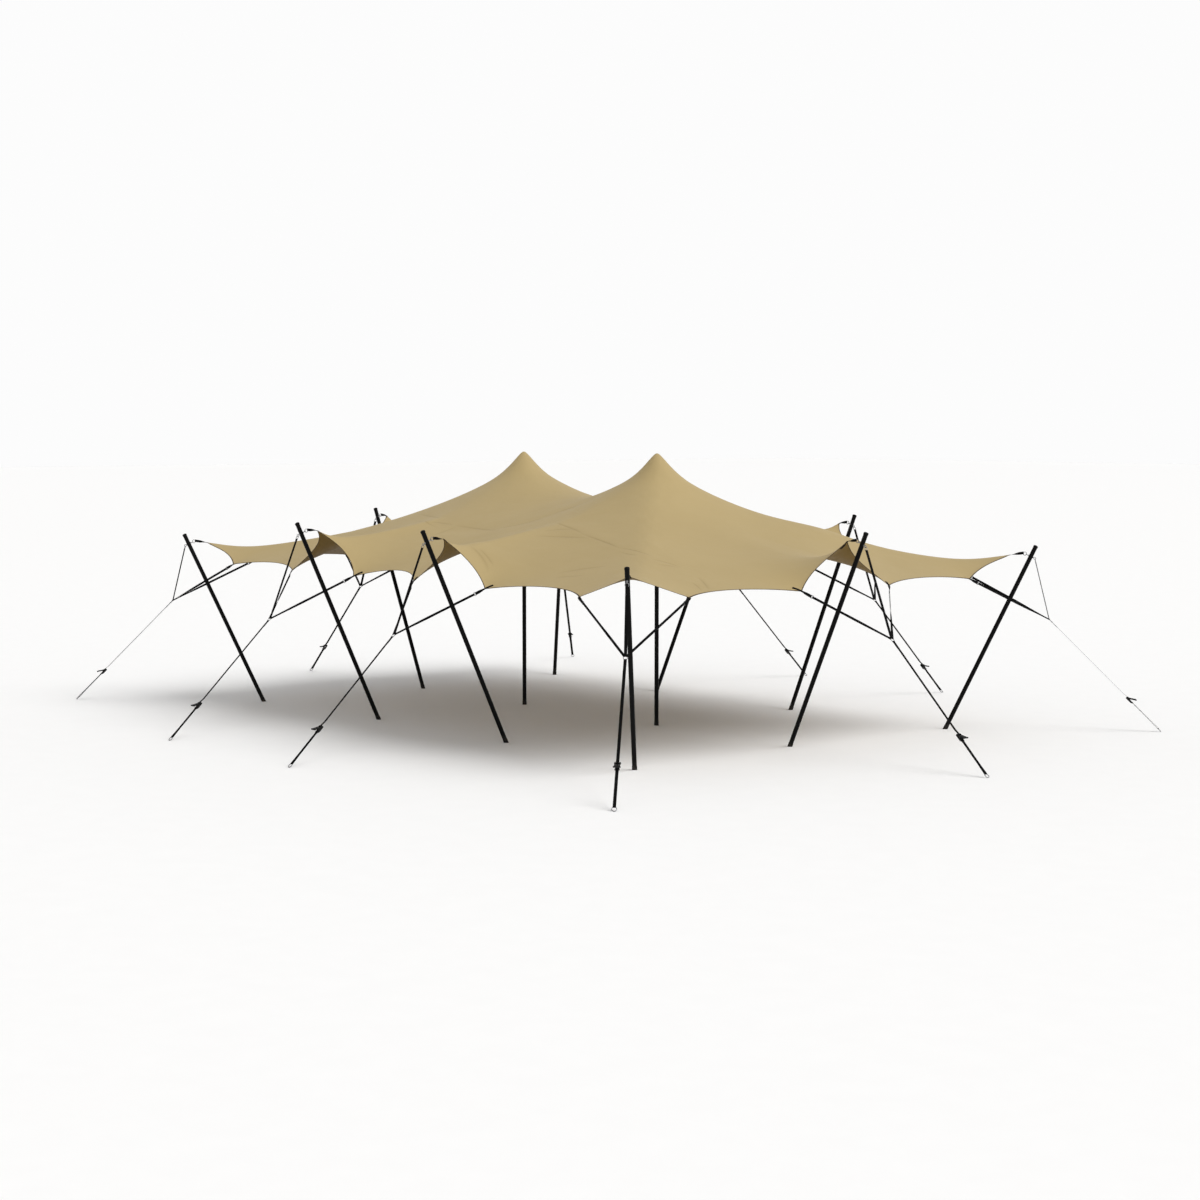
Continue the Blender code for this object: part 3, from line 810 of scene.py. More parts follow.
def looped(
    start: Vector,
    end: Vector,
    face: Vector,
    start_radius: float,
    end_radius: float,
    gap: float,
    taper: float = 0.0,
) -> np.ndarray:
    """The path of an endless webbing loop round two round things, pinched together between them.

    Args:
        start: Centre of the first.
        end: Centre of the second.
        face: Direction in which the two layers lie apart.
        start_radius: Radius of the webbing's middle round the first.
        end_radius: The same round the second.
        gap: Distance between the layers' middles where they are pinched.
        taper: How far before the second the layers part, or 0 for close by.

    Returns:
        A closed path.
    """
    way = (end - start).normalized()
    face = (face - way * face.dot(way)).normalized()
    length = (end - start).length
    parting = 2.2
    soft_start, soft_end = start_radius * parting, taper or end_radius * parting
    shares = (1 - np.cos(np.linspace(0.0, math.pi, 40))) / 2
    run = shares * length
    apart = gap / 2 + (start_radius - gap / 2) * np.exp(-((run / soft_start) ** 2))
    apart += (end_radius - gap / 2) * np.exp(-(((length - run) / soft_end) ** 2))
    arc = np.linspace(0.0, math.pi, 12)[1:-1]
    places = list(zip(run, apart))
    places += [(length + end_radius * math.sin(t), end_radius * math.cos(t)) for t in arc]
    places += zip(run[::-1], -apart[::-1])
    places += [(-start_radius * math.sin(t), -start_radius * math.cos(t)) for t in arc]
    return np.array([tuple(start + way * r + face * a) for r, a in places])


def half_turn(at: float, radius: float, side: int) -> list[Pair]:
    """Webbing's way round a bar, as (along, off) places; the side is 1 past the bar and -1 before it."""
    arc = np.linspace(0.0, math.pi, 9)
    return [(at + side * radius * math.sin(t), side * radius * math.cos(t)) for t in arc]


# Stitches


@dataclass(frozen=True)
class Stitch:
    """One kind of stitch: from one to the next, its length, and the thread's radius."""

    spacing: float
    length: float
    radius: float


STRAP_STITCH = Stitch(0.0042, 0.0032, 0.00045)
HEM_STITCH = Stitch(0.009, 0.0065, 0.0005)


class StitchTree:
    """Geometry Nodes tree that lays short stitches along the edges of a mesh."""

    SIZES = ("Spacing", "Stitch Length", "Thread Radius")
    THREAD_SIDES = 5

    def __init__(self) -> None:
        """Builds the tree."""
        self.tree = bpy.data.node_groups.new("stitch_row", "GeometryNodeTree")
        face = self.tree.interface
        face.new_socket("Geometry", in_out="INPUT", socket_type="NodeSocketGeometry")
        kinds = {name: "NodeSocketFloat" for name in self.SIZES} | {"Thread": "NodeSocketMaterial"}
        self.identifiers = {
            name: face.new_socket(name, in_out="INPUT", socket_type=kind).identifier
            for name, kind in kinds.items()
        }
        face.new_socket("Geometry", in_out="OUTPUT", socket_type="NodeSocketGeometry")
        given, result = self._new("NodeGroupInput"), self._new("NodeGroupOutput")
        curve, spaced = self._new("GeometryNodeMeshToCurve"), self._new("GeometryNodeResampleCurve")
        spaced.mode = "LENGTH"
        stitch, lay = self._new("GeometryNodeMeshCylinder"), self._new("GeometryNodeInstanceOnPoints")
        stitch.inputs["Vertices"].default_value = self.THREAD_SIDES
        tangent, turn = self._new("GeometryNodeInputTangent"), self._new("FunctionNodeAlignRotationToVector")
        turn.axis = "Z"
        real, finish = self._new("GeometryNodeRealizeInstances"), self._new("GeometryNodeSetMaterial")
        for source, output, target, entry in (
            (given, "Geometry", curve, "Mesh"),
            (curve, "Curve", spaced, "Curve"),
            (given, "Spacing", spaced, "Length"),
            (given, "Thread Radius", stitch, "Radius"),
            (given, "Stitch Length", stitch, "Depth"),
            (spaced, "Curve", lay, "Points"),
            (stitch, "Mesh", lay, "Instance"),
            (tangent, "Tangent", turn, "Vector"),
            (turn, "Rotation", lay, "Rotation"),
            (lay, "Instances", real, "Geometry"),
            (real, "Geometry", finish, "Geometry"),
            (given, "Thread", finish, "Material"),
            (finish, "Geometry", result, "Geometry"),
        ):
            self.tree.links.new(source.outputs[output], target.inputs[entry])

    def _new(self, kind: str) -> bpy.types.Node:
        """Adds a node of the given type."""
        return self.tree.nodes.new(kind)

    def sew(
        self, name: str, seams: list[np.ndarray], thread: bpy.types.Material, stitch: Stitch
    ) -> bpy.types.Object:
        """Makes a plain mesh of stitches along seams.

        Args:
            name: The piece's name.
            seams: Paths of points on the surface.
            thread: The thread's material.
            stitch: The kind of stitch.

        Returns:
            The piece.
        """
        edges, first = [], 0
        for seam in seams:
            edges += [(first + k, first + k + 1) for k in range(len(seam) - 1)]
            first += len(seam)
        mesh = bpy.data.meshes.new(name)
        mesh.from_pydata(np.concatenate(seams).tolist(), edges, [])
        piece = bpy.data.objects.new(name, mesh)
        bpy.context.scene.collection.objects.link(piece)
        rows = piece.modifiers.new("Stitches", "NODES")
        rows.node_group = self.tree
        given = (stitch.spacing, stitch.length, stitch.radius, thread)
        for key, value in zip((*self.SIZES, "Thread"), given):
            rows[self.identifiers[key]] = value
        graph = bpy.context.evaluated_depsgraph_get()
        sewn = bpy.data.meshes.new_from_object(piece.evaluated_get(graph))
        piece.modifiers.clear()
        piece.data = sewn
        return piece


def box_stitch(middle: Vector, way: Vector, across: Vector, length: float, width: float) -> np.ndarray:
    """The path of a box with a cross in it, as webbing is sewn.

    Args:
        middle: Its middle, on the surface.
        way: Along the webbing.
        across: Across the webbing.
        length: Its size along.
        width: Its size across.

    Returns:
        The path.
    """
    corners = [(-1, -1), (1, -1), (1, 1), (-1, 1), (-1, -1), (1, 1), (1, -1), (-1, 1)]
    return np.array([tuple(middle + way * (a * length / 2) + across * (b * width / 2)) for a, b in corners])


def both_faces(
    middle: Vector, off: Vector, way: Vector, across: Vector, box: Pair, width: float
) -> list[np.ndarray]:
    """Box stitches on both faces of webbing.

    Args:
        middle: The place between the two faces.
        off: From there to the stitches on the upper face.
        way: Along the webbing.
        across: Across the webbing.
        box: Their length, and the share of the webbing's width that they take.
        width: The webbing's width.

    Returns:
        The two paths.
    """
    length, share = box
    return [box_stitch(middle + lift, way, across, length, width * share) for lift in (off, -off)]


# Dressing


def dressed(piece: bpy.types.Object, body: str, slot: Slot, *nodes: str) -> bpy.types.Object:
    """Puts a finished piece on its body and hides the CAD nodes that it stands for.

    Args:
        piece: The piece.
        body: The CAD body that it moves with.
        slot: Not used.
        nodes: The CAD nodes that it stands for.

    Returns:
        The piece.
    """
    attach(piece, body)
    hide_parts(*nodes)
    LOG.info("%s rides on %s", piece.name, body)
    return piece


# Where things are


@dataclass(frozen=True)
class Station:
    """One side pole and its guy, in the upright plane through the pole's foot."""

    name: str
    lean: Lean
    sides: tuple[int, int]
    foot: Vector
    ground_ring: Vector
    spindle: Vector

    @property
    def out(self) -> Vector:
        """Level direction away from the tent, in the guy's plane."""
        level = self.ground_ring - self.foot
        return Vector((level.x, level.y, 0.0)).normalized()

    @property
    def across(self) -> Vector:
        """Level direction across the guy's plane."""
        return UP.cross(self.out)

    def at(self, place: Pair) -> Vector:
        """The point at a place in the guy's plane."""
        return self.foot + self.out * place[0] + UP * place[1]

    @property
    def top(self) -> Vector:
        """Top of the pole."""
        return self.at(self.lean.value[0])

    @property
    def tip(self) -> Vector:
        """Where the pole holds the canopy."""
        return self.at(self.lean.value[1])

    @property
    def junction(self) -> Vector:
        """Middle of the ring where the guy's straps meet."""
        return self.at(self.lean.value[2])

    @property
    def line(self) -> Vector:
        """Down the guy, from the junction ring to the ground ring."""
        return (self.ground_ring - self.junction).normalized()

    @property
    def above(self) -> Vector:
        """Square to the guy, on its upper side."""
        above = self.line.cross(self.across).normalized()
        return above if above.z > 0 else -above


def stations() -> list[Station]:
    """Reads every side pole's place from the frame's mounts and joints.

    Returns:
        The side poles, in the record's order.
    """
    record = frame["record"]
    mounts = {mount["name"]: Vector(mount["pos_m"]) for mount in record["mounts"]}
    found = []
    for joint in record["behaviour"]["joints"]:
        name = joint["name"].removeprefix("turn_")
        foot = mounts["foot_" + name]
        sides = tuple(0 if abs(c) < 0.1 else int(math.copysign(1, c)) for c in foot[:2])
        lean = Lean.CORNER if name.startswith("corner") else Lean.SIDE
        found.append(Station(name, lean, sides, foot, mounts["ground_ring_" + name], Vector(joint["pos_m"])))
    return found


# Canopy


@dataclass(frozen=True)
class Crease:
    """One soft fold in the cloth, between two places of the flat canopy."""

    start: Pair
    end: Pair
    bow: float
    width: float
    rise: float

    def lift(self, x: np.ndarray, y: np.ndarray) -> np.ndarray:
        """How far the fold lifts the cloth.

        Args:
            x: Places along the flat canopy.
            y: Places across it.

        Returns:
            Metres off the surface.
        """
        way = np.array(self.end) - np.array(self.start)
        length = np.hypot(*way)
        way = way / length
        along = ((x - self.start[0]) * way[0] + (y - self.start[1]) * way[1]) / length
        off = (x - self.start[0]) * -way[1] + (y - self.start[1]) * way[0]
        fade = np.clip(4 * along * (1 - along), 0.0, 1.0)
        return self.rise * fade * np.exp(-(((off - self.bow * fade) / self.width) ** 2))

    def line(self, x: Value, y: Value) -> Value:
        """How much of the fold is at a point of the material, sharper than the mesh can carry.

        Args:
            x: Place along the flat canopy.
            y: Place across it.

        Returns:
            A share from 0 to 1.
        """
        way = np.array(self.end) - np.array(self.start)
        length = float(np.hypot(*way))
        way_x, way_y = (float(c) / length for c in way)
        from_x, from_y = x - self.start[0], y - self.start[1]
        along = (from_x * way_x + from_y * way_y) / length
        off = from_y * way_x - from_x * way_y
        fade = (along * (1.0 - along) * 4.0).clamped(0.0, 1.0)
        far = (off - fade * self.bow) / self.width
        return fade / (1.0 + far * far)


FOLDS = (
    Crease((-1.6, -2.16), (0.75, -1.50), -0.10, 0.22, -0.024),
    Crease((0.4, -1.80), (1.0, -0.55), -0.06, 0.20, -0.018),
    Crease((1.0, -1.62), (3.3, -2.28), -0.02, 0.16, 0.014),
    Crease((1.0, -3.1), (2.6, -3.15), 0.08, 0.14, 0.014),
)
SWELLS = (
    *(
        Crease((x, 3.50 * side), (x, 1.80 * side), 0.0, 0.38, 0.075)
        for side in (-1, 1)
        for x in (1.53, -1.53)
    ),
    Crease((3.9, 0.5), (2.6, 3.0), 0.0, 0.60, 0.075),
    Crease((3.6, 2.1), (5.1, 3.6), 0.0, 0.45, 0.020),
    Crease((-3.5, -2.0), (-5.1, -3.6), 0.0, 0.45, 0.030),
)
CREASES = (
    Crease((1.50, -1.82), (2.25, -2.04), 0.03, 0.014, -0.0040),
    Crease((2.20, -2.03), (3.05, -2.22), -0.02, 0.014, -0.0042),
    Crease((3.00, -2.22), (3.85, -1.86), -0.05, 0.014, -0.0036),
    Crease((3.15, -2.30), (3.60, -2.17), -0.05, 0.012, -0.0026),
    Crease((3.95, -1.97), (4.30, -1.68), 0.04, 0.013, -0.0032),
    Crease((4.15, -2.00), (4.30, -1.72), 0.02, 0.012, -0.0022),
    Crease((1.85, -2.32), (2.40, -2.12), 0.05, 0.014, -0.0034),
    Crease((1.80, -2.13), (2.10, -1.94), 0.03, 0.012, -0.0022),
    Crease((2.90, -3.05), (3.40, -2.77), 0.04, 0.013, -0.0028),
    Crease((3.00, -3.17), (3.35, -3.06), 0.00, 0.012, -0.0022),
    Crease((-0.90, -1.92), (0.30, -1.91), 0.04, 0.015, -0.0038),
    Crease((0.05, -1.80), (0.62, -1.38), -0.10, 0.015, -0.0036),
    Crease((0.58, -1.40), (1.00, -0.87), 0.03, 0.018, -0.0030),
    Crease((1.65, -3.19), (2.20, -3.36), 0.06, 0.020, 0.0040),
    Crease((1.80, -3.13), (2.15, -3.24), 0.02, 0.014, -0.0026),
    Crease((-2.40, -1.64), (-1.40, -1.86), -0.05, 0.014, -0.0026),
    Crease((-2.15, -1.91), (-1.00, -2.08), -0.06, 0.014, -0.0028),
    Crease((-1.36, -2.04), (-0.90, -1.91), 0.02, 0.013, -0.0026),
    Crease((-0.79, -2.35), (-0.80, -1.92), 0.02, 0.014, -0.0028),
    Crease((4.57, -1.73), (4.97, -2.04), 0.02, 0.015, -0.0034),
    Crease((4.73, -1.99), (4.97, -2.17), 0.01, 0.012, -0.0024),
)


@dataclass
class Canopy:
    """The stretched cloth: its flat size, where it is held, and how hard it pulls there."""

    peak_x: float = 1.53
    peak_height: float = 3.855
    dome_radius: float = 0.10
    dome_reach: float = 0.06
    dome_shrink: Pair = (0.5, 0.35)
    cone_slope: float = 1.3
    cone_tip: float = 0.06
    cone_drop: float = 0.008
    cone_blend: float = 0.05
    cone_hold: float = 0.30
    cone_reach: float = 0.15
    soft_ridge: float = 0.38
    soft_reach: float = 0.75
    soft_inset: float = 0.5
    soft_from_dome: float = 0.4
    soft_step: float = 0.2
    scallop: float = 0.045
    scallop_reach: float = 0.6
    corner_fill: Pair = (0.35, 0.95)
    fill_fade: float = 2.0
    skirt: float = 0.17
    half_length: float = 5.01449
    half_width: float = 3.48449
    low_height: float = 2.155
    corner_low_long: Pair = (4.13, 3.54)
    corner_low_short: Pair = (5.08, 2.57)
    long_low: Pair = (0.80, 3.62)
    short_low: Pair = (5.22, 0.80)
    long_foot_x: float = 1.525
    edge_tension: float = 2.15
    ridge_width: float = 0.24
    corner_ridge: float = 18.0
    long_ridge: float = 3.0
    short_ridge: float = 0.7
    saddle: float = 2.7
    lengthways: float = 0.92
    weight: float = 0.23
    thickness: float = 0.0018
    hem_thickness: float = 0.0046
    # Width of the painted shadow line along the cloth's edges.
    edge_band: float = 0.008
    hem: float = 0.028
    hem_step: float = 0.86
    seam_inset: float = 0.62
    seam_points: tuple[int, int] = (900, 640)
    probe: float = 0.04
    least_inwards: float = 0.6
    sharp_from: float = 60.0
    column_steps: tuple = (17, 15, 4, 3, 3, 4, 15, 40, 22)
    row_steps: tuple = (3, 4, 15, 40, 22)
    solver_steps: int = 4000
    settled_at: float = 1e-11
    flat_size: Pair = (10.5, 7.5)
    columns: np.ndarray = field(init=False)
    rows: np.ndarray = field(init=False)
    points: np.ndarray = field(init=False)
    normals: np.ndarray = field(init=False)

    def _set_lines(self) -> None:
        """Sets the grid's columns and rows, which pass through every held place."""
        low, peak, dome, skirt = self.long_low[0], self.peak_x, self.dome_reach, self.skirt
        about_peak = (peak - low, peak - skirt, peak - dome, peak, peak + dome, peak + skirt, peak + low)
        across = (0.0, *about_peak, self.corner_low_long[0], self.half_length)
        down = (0.0, dome, skirt, self.short_low[1], self.corner_low_short[1], self.half_width)
        self.columns = self._mirrored(across, self.column_steps)
        self.rows = self._mirrored(down, self.row_steps)

    @staticmethod
    def _mirrored(breaks: tuple, steps: tuple) -> np.ndarray:
        """Even steps between breaks, the same on both sides of 0.

        Args:
            breaks: Places from 0 outwards.
            steps: How many steps lie between each two.

        Returns:
            The places from one end to the other.
        """
        runs = [np.linspace(a, b, n, endpoint=False) for a, b, n in zip(breaks, breaks[1:], steps)]
        half = np.concatenate(runs + [np.array([breaks[-1]])])
        return np.concatenate((-half[:0:-1], half))

    def holds(self, station: Station) -> list[tuple[Pair, Vector]]:
        """Where a station holds the cloth: the tip first, then its two low points.

        Args:
            station: The side pole.

        Returns:
            Pairs of a place on the flat canopy and a point.
        """
        side_x, side_y = station.sides
        length, width, height = self.half_length, self.half_width, self.low_height
        if station.lean is Lean.CORNER:
            (long_x, long_y), (short_x, short_y) = self.corner_low_long, self.corner_low_short
            tip = (length, width)
            lows = [((long_x, width), (long_x, long_y)), ((length, short_y), (short_x, short_y))]
        elif side_y:
            spread, out = self.long_low
            tip = (self.peak_x, width)
            lows = [((self.peak_x + s, width), (self.long_foot_x + s, out)) for s in (spread, -spread)]
        else:
            out, spread = self.short_low
            tip = (length, 0.0)
            lows = [((length, s), (out, s)) for s in (spread, -spread)]
        side = np.array((side_x, side_y or 1))
        found = [(tuple(side * tip), station.tip)]
        found += [(tuple(side * flat), Vector((*(side * plan), height))) for flat, plan in lows]
        return found

    def _ridge(self, x: np.ndarray, y: np.ndarray, end: Pair, pull: float) -> np.ndarray:
        """Extra pull near the straight run from the peak to a held place on the edge.

        Args:
            x: Distances from the middle along the flat canopy.
            y: Distances from the middle across it.
            end: The held place.
            pull: The extra pull on the run itself.

        Returns:
            The extra pull at each x and y.
        """
        run_x, run_y = end[0] - self.peak_x, end[1]
        along = np.clip(((x - self.peak_x) * run_x + y * run_y) / (run_x**2 + run_y**2), 0.0, 1.0)
        reach = np.hypot(x - self.peak_x - along * run_x, y - along * run_y)
        return pull * np.exp(-((reach / self.ridge_width) ** 2))

    def _pull(self, x: np.ndarray, y: np.ndarray) -> np.ndarray:
        """How hard the cloth pulls.

        Args:
            x: Columns of the flat canopy.
            y: Its rows.

        Returns:
            The pull at each column and row, 1 where nothing draws on it.
        """
        x, y = abs(x)[:, None], abs(y)[None, :]
        pull = 1.0 + self._ridge(x, y, (self.half_length, self.half_width), self.corner_ridge)
        pull = pull + self._ridge(x, y, (self.peak_x, self.half_width), self.long_ridge)
        pull = pull + self._ridge(x, y, (self.half_length, 0.0), self.short_ridge)
        between = np.clip(x / self.peak_x, 0.0, 1.0) ** 2
        return pull * (self.saddle + (1 - self.saddle) * between)

    @staticmethod
    def _shares(places: np.ndarray) -> np.ndarray:
        """Width of the strip of cloth that each grid line stands for."""
        return np.diff(np.concatenate((places[:1], (places[1:] + places[:-1]) / 2, places[-1:])))

    @staticmethod
    def _net(points: np.ndarray, along: np.ndarray, over: np.ndarray) -> np.ndarray:
        """Sums the pulls on each point by its four neighbours.

        Args:
            points: The grid's points, or moves of them.
            along: Stiffness of each thread between columns.
            over: Stiffness of each thread between rows.

        Returns:
            The force on each point.
        """
        force = np.zeros_like(points)
        step = (points[1:] - points[:-1]) * along[..., None]
        force[:-1] += step
        force[1:] -= step
        step = (points[:, 1:] - points[:, :-1]) * over[..., None]
        force[:, :-1] += step
        force[:, 1:] -= step
        return force

    def _held(self, places: list[Station]) -> tuple[np.ndarray, np.ndarray]:
        """Sets the held points: the tips, the low points and the domes over the centre poles.

        Args:
            places: The side poles.

        Returns:
            The starting points, and a mask that is 1 where a point is free.
        """
        points = np.zeros((len(self.columns), len(self.rows), 3))
        points[..., 0], points[..., 1] = self.columns[:, None], self.rows
        free = np.ones((len(self.columns), len(self.rows), 1))
        for station in places:
            for (x, y), point in self.holds(station):
                where = np.argmin(abs(self.columns - x)), np.argmin(abs(self.rows - y))
                points[where] = point
                free[where] = 0.0
        for peak in (-self.peak_x, self.peak_x):
            reach_x, reach_y = np.broadcast_arrays(self.columns[:, None] - peak, self.rows[None, :])
            near = np.maximum(abs(reach_x), abs(reach_y)) < self.dome_reach + TINY
            reach = np.hypot(reach_x, reach_y)[near]
            points[near, 0] = peak + reach_x[near] * self.dome_shrink[0]
            points[near, 1] = reach_y[near] * self.dome_shrink[1]
            points[near, 2] = self.peak_height - (self.dome_radius - np.sqrt(self.dome_radius**2 - reach**2))
            free[near] = 0.0
        return points, free

    def settle(self, places: list[Station]) -> None:
        """Finds the cloth's rest shape by conjugate gradients, then its soft forms and its normals.

        Args:
            places: The side poles that hold it.
        """
        self._set_lines()
        edge_rows, edge_columns = np.zeros(len(self.rows)), np.zeros(len(self.columns))
        edge_rows[[0, -1]] = edge_columns[[0, -1]] = self.edge_tension
        middle_x = (self.columns[1:] + self.columns[:-1]) / 2
        middle_y = (self.rows[1:] + self.rows[:-1]) / 2
        wide, deep = self._shares(self.columns), self._shares(self.rows)
        along = self._pull(middle_x, self.rows) * self.lengthways * deep + edge_rows
        along /= np.diff(self.columns)[:, None]
        over = self._pull(self.columns, middle_y) / self.lengthways * wide[:, None] + edge_columns[:, None]
        over /= np.diff(self.rows)
        self.points, free = self._held(places)
        total = np.zeros(free.shape[:2])
        total[:-1] += along
        total[1:] += along
        total[:, :-1] += over
        total[:, 1:] += over
        ease = free / total[..., None]
        rest = self._net(self.points, along, over) * free
        rest[..., 2:] -= self.weight * np.outer(wide, deep)[..., None] * free
        way = ease * rest
        size = (rest * way).sum()
        for count in range(self.solver_steps):
            answer = -self._net(way, along, over) * free
            step = size / (way * answer).sum()
            self.points += step * way
            rest -= step * answer
            after = (rest * ease * rest).sum()
            if after < self.settled_at:
                break
            way = ease * rest + (after / size) * way
            size = after
        LOG.info("canopy settled in %d steps", count)
        self._soften_ridges(wide, deep, free)
        self._scallop_edges()
        self._fill_corners()
        self._round_peaks()
        self._find_normals()
        x, y = np.meshgrid(self.columns, self.rows, indexing="ij")
        front = -np.sign(y)
        lift = sum(fold.lift(x * front, y * front) for fold in FOLDS)
        lift = lift + sum(fold.lift(x, y) for fold in SWELLS)
        self.points += self.normals * lift[..., None]
        self._find_normals()

    def _soften_ridges(self, wide: np.ndarray, deep: np.ndarray, free: np.ndarray) -> None:
        """Spreads the ridges to the corners softly, away from the edges, the peaks and the held places.

        Args:
            wide: Width of each column's strip.
            deep: Width of each row's strip.
            free: 1 where the cloth isn't held.
        """
        x, y = abs(self.columns)[:, None], abs(self.rows)[None, :]
        run_x, run_y = self.half_length - self.peak_x, self.half_width
        off = abs((x - self.peak_x) * run_y - y * run_x) / math.hypot(run_x, run_y)
        inset = np.minimum(self.half_length - x, self.half_width - y)
        from_dome = np.hypot(x - self.peak_x, y) - self.dome_reach
        share = np.exp(-((off / self.soft_reach) ** 4)) * np.clip(inset / self.soft_inset, 0, 1)
        share = share * np.clip(from_dome / self.soft_from_dome, 0, 1)
        along = deep / np.diff(self.columns)[:, None]
        over = wide[:, None] / np.diff(self.rows)
        step = self.soft_step * min(np.diff(self.columns).min(), np.diff(self.rows).min()) ** 2
        spread = (share * step / np.outer(wide, deep))[..., None] * free
        for _ in range(int(self.soft_ridge**2 / 2 / step)):
            self.points += self._net(self.points, along, over) * spread

    def _scallop_edges(self) -> None:
        """Draws the edge in between each held tip and its low points, as a taut edge does."""
        low, peak = self.long_low[0], self.peak_x
        self._draw_in(self.points, self.columns, self.rows, ((peak - low, peak), (peak, peak + low)))
        self._draw_in(np.swapaxes(self.points, 0, 1), self.rows, self.columns, ((0.0, self.short_low[1]),))

    def _draw_in(self, points: np.ndarray, along: np.ndarray, over: np.ndarray, spans: tuple) -> None:
        """Bows two opposite edges inwards, and the cloth beside them.

        Args:
            points: The cloth's points, along first, changed in place.
            along: Grid lines that cross the edges.
            over: Grid lines beside the edges.
            spans: (start, end) of each bow along an edge, on both sides of 0.
        """
        bow = np.zeros_like(along)
        for start, end in spans:
            bow += self.scallop * np.sin(math.pi * np.clip((abs(along) - start) / (end - start), 0.0, 1.0))
        share = np.clip((abs(over) - over[-1]) / self.scallop_reach + 1.0, 0.0, 1.0) ** 2
        for line, depth in zip(points, bow):
            places = over - np.sign(over) * depth * share
            for axis in range(3):
                line[:, axis] = np.interp(places, over, line[:, axis])

    def _fill_corners(self) -> None:
        """Straightens the edges between each corner and its low points, where a bound edge pulls hardest."""
        self._straighten(self.points, self.columns, self.rows, self.corner_low_long[0])
        self._straighten(np.swapaxes(self.points, 0, 1), self.rows, self.columns, self.corner_low_short[1])

    def _straighten(self, points: np.ndarray, along: np.ndarray, over: np.ndarray, low: float) -> None:
        """Moves the corner ends of two opposite edges, and the cloth up to the ridge, towards straight lines.

        Args:
            points: The cloth's points, along first, changed in place.
            along: Grid lines that cross the edges.
            over: Grid lines beside the edges.
            low: Where along an edge its low point is.
        """
        for side, edge in ((-1, 0), (-1, -1), (1, 0), (1, -1)):
            span = np.flatnonzero(side * along > low - TINY)
            first, last = (points[k, edge].copy() for k in span[[0, -1]][::side])
            chord = unit(last - first)
            off = points[span, edge] - first
            run = off @ chord
            fill = np.interp(run, (0.0, np.linalg.norm(last - first)), self.corner_fill)
            off = (off - run[:, None] * chord) * fill[:, None]
            to_ridge = np.maximum(along[-1] - abs(along[span]), TINY)[:, None]
            share = np.clip(1.0 - abs(over - over[edge]) / to_ridge, 0.0, 1.0) ** self.fill_fade
            points[span] -= off[:, None] * share[..., None]

    def _round_peaks(self) -> None:
        """Lays the cloth over the rounded cone of a reinforced peak, where that is higher than the net."""
        for peak in (-self.peak_x, self.peak_x):
            reach = np.hypot(self.points[..., 0] - peak, self.points[..., 1])
            drop = np.hypot(self.cone_slope * reach, self.cone_tip)
            cone = self.peak_height - self.cone_drop - drop + self.cone_tip
            above = self.points[..., 2] - cone - self.cone_hold * np.exp(-((reach / self.cone_reach) ** 2))
            self.points[..., 2] = cone + (above + np.hypot(above, 2 * self.cone_blend)) / 2

    def _find_normals(self) -> None:
        """Works out the outward normal at each grid point."""
        along = np.gradient(self.points, self.columns, axis=0)
        over = np.gradient(self.points, self.rows, axis=1)
        self.normals = unit(np.cross(along, over))

    def spot(self, flat: Pair) -> tuple[np.ndarray, np.ndarray]:
        """The point and normal at a place of the flat canopy.

        Args:
            flat: The place.

        Returns:
            The point and the normal.
        """
        i = int(np.clip(np.searchsorted(self.columns, flat[0]) - 1, 0, len(self.columns) - 2))
        j = int(np.clip(np.searchsorted(self.rows, flat[1]) - 1, 0, len(self.rows) - 2))
        a = (flat[0] - self.columns[i]) / (self.columns[i + 1] - self.columns[i])
        b = (flat[1] - self.rows[j]) / (self.rows[j + 1] - self.rows[j])
        shares = (
            (i, j, (1 - a) * (1 - b)),
            (i + 1, j, a * (1 - b)),
            (i, j + 1, (1 - a) * b),
            (i + 1, j + 1, a * b),
        )
        point = sum(self.points[p, q] * s for p, q, s in shares)
        normal = sum(self.normals[p, q] * s for p, q, s in shares)
        return point, unit(normal)

    def carried_on(self, flat: Pair, way: np.ndarray) -> Pair:
        """The way on the flat cloth, from a place on its edge, that carries a strap's line on.

        Args:
            flat: The place on the edge.
            way: The strap's way in the scene, towards the cloth.

        Returns:
            A direction on the flat canopy, always well into the cloth.
        """
        on_long_side = abs(abs(flat[1]) - self.half_width) < TINY
        towards = [-math.copysign(1, place) for place in flat]
        into = np.array([0.0, towards[1]] if on_long_side else [towards[0], 0.0])
        beside, step, here = into[::-1], self.probe, np.array(flat)
        spots = [self.spot(here + into * step + beside * step * side)[0] for side in (-1, 1)]
        ahead = self.spot(here + into * 2 * step)[0] - self.spot(here)[0]
        tangents = np.stack([spots[1] - spots[0], ahead], 1)
        shares = np.linalg.lstsq(tangents, way, rcond=None)[0]
        found = unit(beside * shares[0] + into * max(shares[1], self.least_inwards * abs(shares[0])))
        return float(found[0]), float(found[1])

